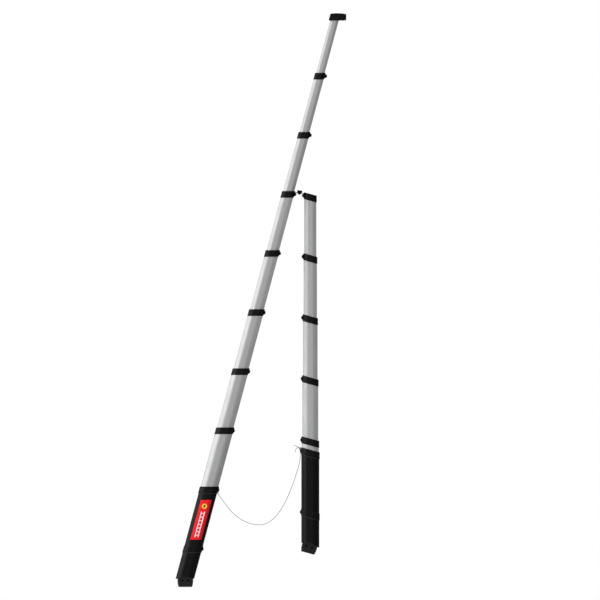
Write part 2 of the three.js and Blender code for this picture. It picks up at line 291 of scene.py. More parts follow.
def drawn_in(corners: Sequence[Corner], by: float) -> list[Corner]:
    """A counterclockwise outline's corners, moved inwards, with each arc about the same centre."""
    places = np.array([corner[:2] for corner in corners], float)
    moved = []
    for i, (here, (_, _, radius)) in enumerate(zip(places, corners)):
        inward = here - places[i - 1]
        onward = places[(i + 1) % len(places)] - here
        inward, onward = inward / np.linalg.norm(inward), onward / np.linalg.norm(onward)
        left_in = np.array([-inward[1], inward[0]])
        left_on = np.array([-onward[1], onward[0]])
        bisector = (left_in + left_on) / (1 + float(left_in @ left_on))
        convex = inward[0] * onward[1] - inward[1] * onward[0] > 0
        new_radius = max(radius - by, 0.03) if convex else radius + by
        moved.append((*(here + bisector * by), new_radius if radius > 0 else 0.0))
    return moved


def counterclockwise(corners: Sequence[Corner]) -> list[Corner]:
    """The same outline, in counterclockwise order."""
    pairs = zip(corners, [*corners[1:], corners[0]])
    area = sum(a[0] * b[1] - b[0] * a[1] for a, b in pairs)
    return list(corners) if area > 0 else list(reversed(corners))


def rectangle(x0: float, x1: float, y0: float, y1: float, radius: float) -> list[Corner]:
    """A rectangle with rounded corners, counterclockwise."""
    return [(x0, y0, radius), (x1, y0, radius), (x1, y1, radius), (x0, y1, radius)]


def smoothed(points: Sequence[tuple[float, float]], rounds: int = 2, fixed: int = 1) -> list[Corner]:
    """Cuts the corners of an outline that starts and ends on a straight root, again and again.

    Args:
        points: the outline's corners; the line from the last to the first is the root.
        rounds: how often the corners are cut.
        fixed: how many corners at either end stay as they are.
    """
    line = [np.array(point, float) for point in points]
    for _ in range(rounds):
        cut = line[:fixed]
        for a, b in zip(line[fixed - 1:-fixed], line[fixed:len(line) - fixed + 1]):
            cut += [a * 0.75 + b * 0.25, a * 0.25 + b * 0.75]
        line = cut + line[-fixed:]
    return [(*point, 0.0) for point in line]


# ---------------------------------------------------------------- solids


class Axis(Enum):
    """The direction that an outline is drawn out along, with the axes that the outline lies in."""

    X = (1, 2, 0)
    Y = (0, 2, 1)
    Z = (0, 1, 2)

    def points(self, flat: np.ndarray, along: float) -> np.ndarray:
        """An outline's points in space, at a place along the axis."""
        space = np.empty((len(flat), 3))
        first, second, third = self.value
        space[:, first], space[:, second], space[:, third] = flat[:, 0], flat[:, 1], along
        return space


def evaluated(obj: bpy.types.Object) -> bpy.types.Mesh:
    """The object's mesh as its modifiers make it."""
    graph = bpy.context.evaluated_depsgraph_get()
    return bpy.data.meshes.new_from_object(
        obj.evaluated_get(graph), preserve_all_data_layers=True, depsgraph=graph
    )


class Solid:
    """A mesh in the making, of one or more closed shells, in millimetres."""

    MAP = "surface"

    def __init__(self) -> None:
        """Starts an empty solid."""
        self.mesh = bmesh.new()
        self.map = self.mesh.loops.layers.uv.new(self.MAP)

    def sweep(
        self, rings: Sequence[np.ndarray], closed: bool = False, along: Sequence[float] | None = None
    ) -> "Solid":
        """Adds a shell that is skinned over rings of as many points each.

        Args:
            rings: each ring's points, in order.
            closed: whether the last ring joins the first, as in a tube with a wall; otherwise both ends
                are capped.
            along: each ring's place along the surface's map, which is its mean height if left out.

        Returns:
            This solid.
        """
        count = len(rings[0])
        rows = [[self.mesh.verts.new(point) for point in ring] for ring in rings]
        around = np.linalg.norm(np.roll(rings[0], -1, axis=0) - rings[0], axis=1)
        across = np.concatenate([[0.0], np.cumsum(around)])
        heights = list(along) if along is not None else [float(ring[:, 2].mean()) for ring in rings]
        faces = []
        pairs = list(zip(rows, rows[1:], heights, heights[1:]))
        if closed:
            pairs.append((rows[-1], rows[0], heights[-1], heights[0]))
        for low, high, low_at, high_at in pairs:
            for j in range(count):
                k = (j + 1) % count
                face = self.mesh.faces.new((low[j], low[k], high[k], high[j]))
                places = (
                    (across[j], low_at), (across[j + 1], low_at), (across[j + 1], high_at),
                    (across[j], high_at),
                )
                for loop, place in zip(face.loops, places):
                    loop[self.map].uv = (place[0] * MM, place[1] * MM)
                faces.append(face)
        if not closed:
            faces += [self.mesh.faces.new(tuple(reversed(rows[0]))), self.mesh.faces.new(tuple(rows[-1]))]
        bmesh.ops.recalc_face_normals(self.mesh, faces=faces)
        return self

    def prism(
        self, corners: Sequence[Corner], low: float, high: float, edge: float = 0.8, axis: Axis = Axis.Y,
    ) -> "Solid":
        """Adds an outline drawn out along an axis, with its end edges rounded.

        Args:
            corners: the outline, (first, second, radius) of each corner.
            low: where it starts along the axis.
            high: where it ends.
            edge: the radius of the end edges.
            axis: the direction that it is drawn out along.

        Returns:
            This solid.
        """
        outline = counterclockwise(corners)
        if not edge:
            flat = filleted(outline)
            return self.sweep([axis.points(flat, low), axis.points(flat, high)])
        steps = [math.radians(a) for a in (0, 30, 60, 90)] if edge > 0.5 else [0.0, math.pi / 2]
        rings = []
        for angle in steps:
            flat = filleted(drawn_in(outline, edge * (1 - math.sin(angle))))
            rings.append(axis.points(flat, low + edge * (1 - math.cos(angle))))
        for angle in reversed(steps):
            flat = filleted(drawn_in(outline, edge * (1 - math.sin(angle))))
            rings.append(axis.points(flat, high - edge * (1 - math.cos(angle))))
        return self.sweep(rings)

    def block(
        self, low: Sequence[float], high: Sequence[float], radius: float = 1.0, edge: float = 0.8
    ) -> "Solid":
        """Adds a box with every edge rounded, drawn out along Y."""
        return self.prism(rectangle(low[0], high[0], low[2], high[2], radius), low[1], high[1], edge)

    def turned(
        self, profile: Sequence[tuple[float, float]], centre: tuple[float, float], sides: int = 32,
        axis: Axis = Axis.Y,
    ) -> "Solid":
        """Adds a turned shape.

        Args:
            profile: (radius, place along the axis) from one end to the other.
            centre: where the axis passes, in the two directions across it.
            sides: how many points go round.
            axis: the direction of the axis.

        Returns:
            This solid.
        """
        angles = np.linspace(0, 2 * math.pi, sides, endpoint=False)
        circle = np.column_stack([np.cos(angles), np.sin(angles)])
        return self.sweep([axis.points(circle * radius + centre, at) for radius, at in profile])

    def add(self, other: "Solid", place: Matrix | None = None) -> "Solid":
        """Adds another solid's shells, moved by place."""
        scratch = bpy.data.meshes.new("scratch")
        other.mesh.to_mesh(scratch)
        if place is not None:
            scratch.transform(place)
            if place.determinant() < 0:
                scratch.flip_normals()
        self.mesh.from_mesh(scratch)
        bpy.data.meshes.remove(scratch)
        return self

    def add_mesh(self, mesh: bpy.types.Mesh) -> "Solid":
        """Adds a mesh's shells, and removes the mesh."""
        self.mesh.from_mesh(mesh)
        bpy.data.meshes.remove(mesh)
        return self

    def moved(self, place: Matrix) -> "Solid":
        """A copy of this solid, moved by place."""
        return Solid().add(self, place)

    def cut(self, *tools: "Solid") -> "Solid":
        """This solid with other solids taken out of it."""
        work = bpy.data.objects.new("work", self.to_mesh("work"))
        bpy.context.scene.collection.objects.link(work)
        knives = []
        for tool in tools:
            knife = bpy.data.objects.new("knife", tool.to_mesh("knife"))
            bpy.context.scene.collection.objects.link(knife)
            modifier = work.modifiers.new("cut", "BOOLEAN")
            modifier.operation, modifier.solver, modifier.object = "DIFFERENCE", "EXACT", knife
            knives.append(knife)
        result = Solid().add_mesh(evaluated(work))
        for scratch in (work, *knives):
            bpy.data.objects.remove(scratch)
        return result

    def to_mesh(self, name: str) -> bpy.types.Mesh:
        """This solid as a plain mesh, still in millimetres."""
        mesh = bpy.data.meshes.new(name)
        self.mesh.to_mesh(mesh)
        return mesh


def across(sign: int, y: float = 0.0) -> Matrix:
    """Moves a thing drawn for the +Y side out to y on a side, mirrored on the -Y side."""
    return Matrix.Diagonal((1, sign, 1, 1)) @ Matrix.Translation((0, y, 0))


# ---------------------------------------------------------------- finishes


def add_node(
    tree: bpy.types.NodeTree, kind: str, inputs: dict[str | int, object], settings: dict[str, object],
) -> bpy.types.Node:
    """Adds a node to a tree.

    Args:
        tree: the material's, world's or geometry tree.
        kind: the node's type.
        inputs: what each input is linked to, or its value.
        settings: the node's own properties.

    Returns:
        The node.
    """
    made = tree.nodes.new(kind)
    for name, value in settings.items():
        setattr(made, name, value)
    for socket, value in inputs.items():
        if isinstance(value, Socket):
            tree.links.new(value, made.inputs[socket])
        else:
            made.inputs[socket].default_value = value
    return made


class Where(Enum):
    """What a finish's pattern follows."""

    OBJECT = "Object"
    SURFACE = "UV"


class Shader:
    """Builds one material's nodes round its Principled shader."""

    def __init__(self, name: str, constants: dict[str, float | tuple[float, ...]]) -> None:
        """Starts a material.

        Args:
            name: the material's name.
            constants: the shader's sockets that are the same all over, and their values.
        """
        self.material = bpy.data.materials.new(name)
        self.material.use_nodes = True
        self.tree = self.material.node_tree
        self.shader = self.tree.nodes["Principled BSDF"]
        for socket, value in constants.items():
            self.shader.inputs[socket].default_value = value

    def node(self, kind: str, inputs: dict[str | int, object], **settings: object) -> bpy.types.Node:
        """Adds a node to the material."""
        return add_node(self.tree, kind, inputs, settings)

    def place(self, where: Where, scale: tuple[float, float, float] = (1, 1, 1)) -> Socket:
        """The pattern's coordinates, stretched by scale."""
        coordinates = self.tree.nodes.new("ShaderNodeTexCoord")
        mapping = self.node("ShaderNodeMapping", {"Vector": coordinates.outputs[where.value], "Scale": scale})
        return mapping.outputs["Vector"]

    def noise(self, at: Socket, scale: float, detail: float = 3.0) -> Socket:
        """Smooth noise, about 0 to 1."""
        inputs = {"Vector": at, "Scale": scale, "Detail": detail, "Roughness": 0.6}
        return self.node("ShaderNodeTexNoise", inputs).outputs["Fac"]

    def spread(self, value: Socket, low: float, high: float, to_low: float, to_high: float) -> Socket:
        """A value's span from low to high, spread over another span and clamped."""
        inputs = {"Value": value, "From Min": low, "From Max": high, "To Min": to_low, "To Max": to_high}
        return self.node("ShaderNodeMapRange", inputs, clamp=True).outputs["Result"]

    def blend(self, share: Socket, low: tuple[float, ...], high: tuple[float, ...] | Socket) -> Socket:
        """A colour between two, by share."""
        mixed = self.node("ShaderNodeMix", {"Factor": share}, data_type="RGBA")
        for socket, value in ((mixed.inputs[6], low), (mixed.inputs[7], high)):
            if isinstance(value, Socket):
                self.tree.links.new(value, socket)
            else:
                socket.default_value = value
        return mixed.outputs[2]

    def bump(self, height: Socket, strength: float, depth: float) -> None:
        """Raises the surface by a height, in metres at full height, on top of any bump before it."""
        inputs = {"Height": height, "Strength": strength, "Distance": depth}
        made = self.node("ShaderNodeBump", inputs)
        before = self.shader.inputs["Normal"]
        if before.is_linked:
            self.tree.links.new(before.links[0].from_socket, made.inputs["Normal"])
        self.tree.links.new(made.outputs["Normal"], before)

    def set(self, socket: str, value: Socket) -> None:
        """Links a value to one of the shader's sockets."""
        self.tree.links.new(value, self.shader.inputs[socket])


def grey(level: float, tint: tuple[float, float, float] = (1, 1, 1)) -> tuple[float, float, float, float]:
    """A colour of a level, slightly tinted."""
    return (level * tint[0], level * tint[1], level * tint[2], 1.0)


@dataclass(frozen=True)
class Finish:
    """What every finish has. A subclass says how it is dressed.

    Args:
        name: the material's name.
        slot: the record's material slot, or nothing for print; not used.
    """

    name: str
    slot: str

    def constants(self) -> dict[str, float | tuple[float, ...]]:
        """The shader's sockets that are the same all over."""
        return {}

    def dress(self, shader: Shader) -> None:
        """Adds the pattern's nodes."""

    def material(self) -> bpy.types.Material:
        """The finish's material, made when it is first asked for."""
        found = bpy.data.materials.get(self.name)
        if found:
            return found
        shader = Shader(self.name, self.constants())
        self.dress(shader)
        return shader.material


@dataclass(frozen=True)
class Aluminium(Finish):
    """Satin anodised aluminium, with fine die lines along the extrusion.

    Args:
        where: what the die lines follow.
        lines: the pattern's scale along each of its axes, small along the extrusion.
        level: how bright the metal is.
        rough: its mean roughness.
    """

    where: Where = Where.SURFACE
    lines: tuple[float, float, float] = (900.0, 5.0, 1.0)
    level: float = 0.95
    rough: float = 0.6

    def constants(self) -> dict[str, float | tuple[float, ...]]:
        """A bare metal."""
        return {"Metallic": 1.0, "Specular IOR Level": 0.5}

    def dress(self, shader: Shader) -> None:
        """Die lines, a faint cloud in the anodising and hairline rub marks."""
        lines = shader.noise(shader.place(self.where, self.lines), 1.0, 4.0)
        clouds = shader.noise(shader.place(Where.OBJECT), 9.0, 4.0)
        rubs = shader.noise(shader.place(self.where, tuple(0.35 * s for s in self.lines)), 1.0, 2.0)
        low, high = grey(self.level * 0.94, (0.985, 0.99, 1.0)), grey(self.level * 1.05, (0.99, 0.995, 1.0))
        tone = shader.blend(shader.spread(lines, 0.3, 0.7, 0, 1), low, high)
        rubbed = shader.spread(rubs, 0.62, 0.74, 0, 0.5)
        shader.set("Base Color", shader.blend(rubbed, tone, grey(self.level * 1.12)))
        shader.set("Roughness", shader.spread(clouds, 0.3, 0.7, self.rough - 0.06, self.rough + 0.07))
        shader.bump(lines, 0.12, 0.00008)


@dataclass(frozen=True)
class BlackCoat(Finish):
    """Fine powder coat on an extruded tube: an orange-peel skin and faint rub marks along the tube."""

    level: float = 0.003
    rough: float = 0.24

    def constants(self) -> dict[str, float | tuple[float, ...]]:
        """A coat with a low sheen."""
        return {"Metallic": 0.0, "Specular IOR Level": 0.2}

    def dress(self, shader: Shader) -> None:
        """Orange peel, clouds of gloss and long faint rubs."""
        peel = shader.noise(shader.place(Where.OBJECT), 950.0, 2.0)
        clouds = shader.noise(shader.place(Where.OBJECT), 7.0, 5.0)
        rubs = shader.noise(shader.place(Where.SURFACE, (260.0, 4.0, 1.0)), 1.0, 3.0)
        worn = shader.spread(rubs, 0.62, 0.78, 0, 0.35)
        shader.set("Base Color", shader.blend(worn, grey(self.level, (1, 1, 1.03)), grey(self.level * 3.2)))
        shader.set("Roughness", shader.spread(clouds, 0.3, 0.72, self.rough - 0.05, self.rough + 0.1))
        shader.bump(peel, 0.16, 0.0001)


@dataclass(frozen=True)
class Moulded(Finish):
    """A moulded plastic or rubber with a fine spark-eroded skin.

    Args:
        colour: its colour.
        rough: its mean roughness.
        grain: how many grains of the skin go to a metre.
        relief: how deep the skin's grain is, in metres.
        specular: the shader's specular level.
        scuff: how much paler its scuffed patches are.
    """

    colour: tuple[float, float, float] = (0.006, 0.006, 0.0063)
    rough: float = 0.5
    grain: float = 1500.0
    relief: float = 0.00012
    specular: float = 0.3
    scuff: float = 0.3

    def constants(self) -> dict[str, float | tuple[float, ...]]:
        """A plain dielectric."""
        return {"Metallic": 0.0, "Specular IOR Level": self.specular}

    def dress(self, shader: Shader) -> None:
        """The skin's grain, scuffs and an uneven sheen."""
        skin = shader.noise(shader.place(Where.OBJECT), self.grain, 2.0)
        patches = shader.noise(shader.place(Where.OBJECT), 38.0, 5.0)
        clouds = shader.noise(shader.place(Where.OBJECT), 11.0, 3.0)
        pale = tuple(min(1.0, c * (1 + 4 * self.scuff) + 0.004 * self.scuff) for c in self.colour)
        scuffed = shader.spread(patches, 0.56, 0.78, 0, self.scuff)
        shader.set("Base Color", shader.blend(scuffed, (*self.colour, 1), (*pale, 1)))
        shader.set("Roughness", shader.spread(clouds, 0.3, 0.7, self.rough - 0.06, self.rough + 0.08))
        shader.bump(skin, 0.22, self.relief)


@dataclass(frozen=True)
class Steel(Finish):
    """Plated steel, zinc bright or blackened.

    Args:
        level: how bright it is.
        rough: its mean roughness.
        tint: its colour.
    """

    level: float = 0.5
    rough: float = 0.33
    tint: tuple[float, float, float] = (0.97, 0.985, 1.0)

    def constants(self) -> dict[str, float | tuple[float, ...]]:
        """A bare metal."""
        return {"Metallic": 1.0}

    def dress(self, shader: Shader) -> None:
        """Cloudy plating with fine scratches."""
        clouds = shader.noise(shader.place(Where.OBJECT), 60.0, 4.0)
        scratches = shader.noise(shader.place(Where.OBJECT, (300.0, 30.0, 900.0)), 1.0, 2.0)
        low, high = grey(self.level * 0.86, self.tint), grey(self.level * 1.1, self.tint)
        shader.set("Base Color", shader.blend(shader.spread(clouds, 0.3, 0.7, 0, 1), low, high))
        shader.set("Roughness", shader.spread(scratches, 0.3, 0.7, self.rough - 0.08, self.rough + 0.1))
        shader.bump(scratches, 0.08, 0.00005)


@dataclass(frozen=True)
class Vinyl(Finish):
    """Printed vinyl of a label.

    Args:
        colour: the print's colour.
    """

    colour: tuple[float, float, float] = (0.7, 0.7, 0.7)

    def constants(self) -> dict[str, float | tuple[float, ...]]:
        """A smooth film."""
        return {"Metallic": 0.0, "Specular IOR Level": 0.3}

    def dress(self, shader: Shader) -> None:
        """A slightly uneven ink and gloss."""
        ink = shader.noise(shader.place(Where.OBJECT), 70.0, 3.0)
        film = shader.noise(shader.place(Where.OBJECT), 25.0, 3.0)
        low = (*(0.93 * c for c in self.colour), 1)
        shader.set("Base Color", shader.blend(shader.spread(ink, 0.3, 0.7, 0, 1), low, (*self.colour, 1)))
        shader.set("Roughness", shader.spread(film, 0.3, 0.7, 0.34, 0.46))
        shader.bump(film, 0.05, 0.0001)


@dataclass(frozen=True)
class Rope(Finish):
    """Laid polyester cord: each strand's filaments run along it.

    Args:
        colour: the yarn's colour.
    """

    colour: tuple[float, float, float] = (0.27, 0.27, 0.265)

    def constants(self) -> dict[str, float | tuple[float, ...]]:
        """A soft yarn."""
        return {"Metallic": 0.0, "Specular IOR Level": 0.2, "Sheen Weight": 0.25, "Sheen Roughness": 0.5}

    def dress(self, shader: Shader) -> None:
        """Filaments along the strand, and a slightly soiled tone."""
        yarn = shader.noise(shader.place(Where.SURFACE, (2600.0, 260.0, 1.0)), 1.0, 2.0)
        soil = shader.noise(shader.place(Where.OBJECT), 16.0, 4.0)
        dark = (*(0.6 * c for c in self.colour), 1)
        filaments = shader.blend(shader.spread(yarn, 0.3, 0.7, 0, 1), dark, (*self.colour, 1))
        dirty = (*(0.7 * c for c in self.colour[:2]), 0.62 * self.colour[2], 1)
        shader.set("Base Color", shader.blend(shader.spread(soil, 0.6, 0.4, 0, 0.5), filaments, dirty))
        shader.set("Roughness", shader.spread(yarn, 0.3, 0.7, 0.75, 0.95))
        shader.bump(yarn, 0.3, 0.0002)


ANODISED = Aluminium("anodised_tube", "aluminium")
TREAD_METAL = Aluminium("anodised_tread", "aluminium", Where.OBJECT, (700.0, 6.0, 700.0), 0.82, 0.44)
COAT = BlackCoat("black_powder_coat", "black_coat")
PLASTIC = Moulded("black_moulding", "black_plastic", (0.003, 0.003, 0.0032), 0.26, specular=0.2)
RUBBER = Moulded("shoe_rubber", "shoe_rubber", (0.0035, 0.0035, 0.0037), 0.7, 900.0, 0.0002, 0.1, 0.6)
FACE_PLATE = Moulded("shoe_face_plate", "shoe_rubber", (0.01, 0.01, 0.0103), 0.55, 1300.0, 0.0001, 0.2, 0.3)
PAD_RUBBER = Moulded(
    "wall_pad_rubber", "black_plastic", (0.003, 0.003, 0.0032), 0.7, 900.0, 0.00015, 0.12, 0.3
)
ZINC = Steel("zinc_plate", "steel")
DARK_SCREW = Steel("blackened_screw", "steel", 0.006, 0.5, (1.0, 1.0, 1.0))
RIVET = Steel("rivet", "aluminium", 0.42, 0.35)
RED = Moulded("red_thumb_slide", "button_plastic", (0.42, 0.008, 0.012), 0.42, 1400.0, 0.00008, 0.45, 0.05)
LABEL_RED = Vinyl("label_red", "", (0.66, 0.006, 0.012))
LABEL_WHITE = Vinyl("label_white", "", (0.78, 0.78, 0.78))
LABEL_YELLOW = Vinyl("label_yellow", "", (0.72, 0.5, 0.02))
LABEL_BLACK = Vinyl("label_black", "", (0.01, 0.01, 0.01))
CORD_YARN = Rope("laid_cord", "cord")


# ---------------------------------------------------------------- patterns that repeat


class Pattern:
    """A geometry node tree with named inputs, which works on the mesh that it is put on."""

    def __init__(self, name: str, inputs: dict[str, str]) -> None:
        """Starts a tree.

        Args:
            name: the tree's name.
            inputs: the name and kind of each input, besides the geometry and the material.
        """
        self.tree = bpy.data.node_groups.new(name, "GeometryNodeTree")
        sockets = self.tree.interface
        sockets.new_socket("Geometry", in_out="INPUT", socket_type="NodeSocketGeometry")
        for socket, kind in {**inputs, "Material": "Material"}.items():
            sockets.new_socket(socket, in_out="INPUT", socket_type=f"NodeSocket{kind}")
        sockets.new_socket("Geometry", in_out="OUTPUT", socket_type="NodeSocketGeometry")
        self.inputs = self.tree.nodes.new("NodeGroupInput").outputs

    def node(self, kind: str, inputs: dict[str | int, object], **settings: object) -> bpy.types.Node:
        """Adds a node to the tree."""
        return add_node(self.tree, kind, inputs, settings)

    def end(self, geometry: Socket) -> None:
        """Makes the geometry real, gives it the material and ends the tree."""
        real = self.node("GeometryNodeRealizeInstances", {"Geometry": geometry})
        dressed = self.node(
            "GeometryNodeSetMaterial", {"Geometry": real.outputs[0], "Material": self.inputs["Material"]}
        )
        self.node("NodeGroupOutput", {0: dressed.outputs[0]})

    def on(self, mesh: bpy.types.Mesh, finish: Finish, **values: object) -> bpy.types.Mesh:
        """What the pattern makes of a mesh.

        Args:
            mesh: the mesh that it starts from, which is removed.
            finish: the result's finish.
            values: the tree's inputs, by name, with _ for each space.

        Returns:
            A plain mesh.
        """
        carrier = bpy.data.objects.new("carrier", mesh)
        bpy.context.scene.collection.objects.link(carrier)
        modifier = carrier.modifiers.new("pattern", "NODES")
        modifier.node_group = self.tree
        given = {name.replace("_", " "): value for name, value in values.items()}
        given["Material"] = finish.material()
        for socket in self.tree.interface.items_tree:
            if socket.in_out == "INPUT" and socket.name in given:
                modifier[socket.identifier] = given[socket.name]
        made = evaluated(carrier)
        bpy.data.objects.remove(carrier)
        bpy.data.meshes.remove(mesh)
        return made


class Rows(Pattern):
    """Sets copies of a mesh out in rows."""

    def __init__(self) -> None:
        """Builds the tree: a line of copies, and a line of such lines."""
        super().__init__("rows", {"Count": "Int", "Step": "Vector", "Rows": "Int", "Row Step": "Vector"})
        copies = self.inputs["Geometry"]
        for count, step in (("Count", "Step"), ("Rows", "Row Step")):
            line = self.node(
                "GeometryNodeMeshLine", {"Count": self.inputs[count], "Offset": self.inputs[step]},
                mode="OFFSET",
            )
            placed = self.node(
                "GeometryNodeInstanceOnPoints", {"Points": line.outputs["Mesh"], "Instance": copies}
            )
            copies = self.node(
                "GeometryNodeRealizeInstances", {"Geometry": placed.outputs["Instances"]}
            ).outputs[0]
        self.end(copies)


class Heads(Pattern):
    """Sets a domed fastener head on every vertex of a mesh, turned to the vertex's facing attribute."""

    SIDES = 24
    FACING = "facing"

    def __init__(self, name: str, recessed: bool) -> None:
        """Builds the tree.

        Args:
            name: the tree's name.
            recessed: whether the head has a cross recess, as a screw has.
        """
        super().__init__(name, {"Radius": "Float", "Rise": "Float"})
        ball = self.node(
            "GeometryNodeMeshUVSphere", {"Segments": self.SIDES, "Rings": 12, "Radius": self.inputs["Radius"]}
        )
        share = self.node(
            "ShaderNodeMath", {0: self.inputs["Rise"], 1: self.inputs["Radius"]}, operation="DIVIDE"
        )
        flat = self.node("ShaderNodeCombineXYZ", {0: 1.0, 1: 1.0, 2: share.outputs[0]})
        head = self.node(
            "GeometryNodeTransform", {"Geometry": ball.outputs["Mesh"], "Scale": flat.outputs[0]}
        ).outputs[0]
        if recessed:
            head = self.recess(head)
        facing = self.node("GeometryNodeInputNamedAttribute", {"Name": self.FACING}, data_type="FLOAT_VECTOR")
        turn = self.node("FunctionNodeAlignRotationToVector", {"Vector": facing.outputs[0]}, axis="Z")
        placed = self.node(
            "GeometryNodeInstanceOnPoints",
            {"Points": self.inputs["Geometry"], "Instance": head, "Rotation": turn.outputs[0]},
        )
        self.end(placed.outputs["Instances"])

    def recess(self, head: Socket) -> Socket:
        """A head with a cross cut into its top."""
        long = self.node(
            "ShaderNodeMath", {0: self.inputs["Radius"], 1: 1.15}, operation="MULTIPLY"
        ).outputs[0]
        thin = self.node(
            "ShaderNodeMath", {0: self.inputs["Radius"], 1: 0.24}, operation="MULTIPLY"
        ).outputs[0]
        up = self.node("ShaderNodeCombineXYZ", {0: 0.0, 1: 0.0, 2: self.inputs["Rise"]}).outputs[0]
        made = self.tree.nodes.new("GeometryNodeMeshBoolean")
        made.operation, made.solver = "DIFFERENCE", "EXACT"
        self.tree.links.new(head, made.inputs[0])
        for along, across_it in ((long, thin), (thin, long)):
            size = self.node(
                "ShaderNodeCombineXYZ", {0: along, 1: across_it, 2: self.inputs["Rise"]}
            ).outputs[0]
            bar = self.node("GeometryNodeMeshCube", {"Size": size}).outputs["Mesh"]
            raised = self.node("GeometryNodeTransform", {"Geometry": bar, "Translation": up}).outputs[0]
            self.tree.links.new(raised, made.inputs[1])
        return made.outputs[0]

    def at(
        self, places: Sequence[tuple[float, float, float]], facing: Sequence[float], finish: Finish,
        radius: float,
        rise: float,
    ) -> bpy.types.Mesh:
        """Heads at some places.

        Args:
            places: where they sit, in millimetres.
            facing: the direction that they all point.
            finish: their finish.
            radius: a head's radius.
            rise: how far it stands up.

        Returns:
            Their mesh.
        """
        mesh = bpy.data.meshes.new("places")
        mesh.from_pydata(places, [], [])
        attribute = mesh.attributes.new(self.FACING, "FLOAT_VECTOR", "POINT")
        attribute.data.foreach_set("vector", [float(x) for _ in places for x in facing])
        return self.on(mesh, finish, Radius=radius, Rise=rise)


ROWS = Rows()
RIVETS = Heads("rivet_heads", recessed=False)
SCREWS = Heads("screw_heads", recessed=True)


def in_rows(
    one: Solid, count: int, step: Sequence[float], finish: Finish, rows: int = 1,
    row_step: Sequence[float] = (0, 0, 0),
) -> Solid:
    """Copies of a solid in rows."""
    mesh = ROWS.on(
        one.to_mesh("one"), finish, Count=count, Step=[float(x) for x in step], Rows=rows,
        Row_Step=[float(x) for x in row_step],
    )
    return Solid().add_mesh(mesh)


# ---------------------------------------------------------------- pieces


@dataclass(frozen=True)
class Piece:
    """One visible piece.

    Args:
        name: its name.
        shape: its shape, in millimetres.
        place: from the shape's frame to the row's frame.
        body: the CAD body that it moves with.
        finish: its finish.
        nodes: the CAD nodes that it stands for.
        sharp: edges that turn more than this stay crisp, in degrees.
    """

    name: str
    shape: Solid
    place: Matrix
    body: str
    finish: Finish
    nodes: tuple[str, ...] = ()
    sharp: float = 38.0

    def build(self) -> bpy.types.Object:
        """Makes the object and ties it to its body."""
        mesh = self.shape.to_mesh(self.name)
        mesh.transform(self.place)
        mesh.materials.clear()
        mesh.materials.append(self.finish.material())
        mesh.polygons.foreach_set("material_index", [0] * len(mesh.polygons))
        mesh.shade_smooth()
        mesh.set_sharp_from_angle(angle=math.radians(self.sharp))
        obj = bpy.data.objects.new(self.name, mesh)
        bpy.context.scene.collection.objects.link(obj)
        weighted = obj.modifiers.new("weighted", "WEIGHTED_NORMAL")
        weighted.keep_sharp = True
        smoothed_mesh = evaluated(obj)
        obj.modifiers.clear()
        obj.data = smoothed_mesh
        smoothed_mesh.name = self.name
        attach(obj, self.body)
        if self.nodes:
            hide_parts(*self.nodes)
        LOG.info("%s: %d faces, on %s", self.name, len(smoothed_mesh.polygons), self.body)
        return obj


class SubAssembly:
    """Some pieces that belong together."""

    def pieces(self) -> Iterator[Piece]:
        """Its pieces."""
        raise NotImplementedError

    def build(self) -> list[bpy.types.Object]:
        """Builds every piece."""
        return [piece.build() for piece in self.pieces()]


# ---------------------------------------------------------------- stiles and collars

COLLAR_HALF = 32.5 / 2 / math.cos(LEAN)
COLLAR_PROUD = 2.2
TUBE_TOP = 12.25
TUBE_OVERLAP = 90.0
TUBE_CLEARANCE = 0.15
SHOE_RISE = 41.0
SOCKET_HALF = 23.0
SOCKET_LENGTH = 16.0


@dataclass(frozen=True)
class StileTube(SubAssembly):
    """One section's tube on one side. Section 0 is the base stile."""

    leg: Leg
    section: int
    side: Side
    chamfer: float = 0.4

    def pieces(self) -> Iterator[Piece]:
        """The tube, a closed skin over its outside, its ends and its bore."""
        base = self.section == 0
        bottom = (SHOE_RISE + 0.3) / math.cos(LEAN) if base else -RUNG_PITCH - TUBE_OVERLAP
        rung_at = 0.0 if base else self.leg.rungs[self.section + 1]
        top = (self.leg.rungs[1] if base else 0.0) + TUBE_TOP
        wall, c = STILE.wall_of(self.section), self.chamfer
        profile = [
            (-c, bottom, base), (0.0, bottom + c, base), (0.0, top - c, True), (-c, top, True),
            (c - wall, top, True), (-wall, top - c, True), (-wall, bottom + c, base),
            (c - wall, bottom, base),
        ]
        rings = [STILE.ring(self.section, out, height, slanted) for out, height, slanted in profile]
        shape = Solid().sweep(rings, closed=True).moved(across(self.leg.sign(self.side), STILE.y))
        word = f"{self.leg.name}_{'base_stile' if base else f'stile_{self.section}'}_{self.side.word}"
        finish = COAT if base else ANODISED
        yield Piece(f"{word}_tube", shape, self.leg.at(rung_at), self.leg.body(self.section), finish, (word,))


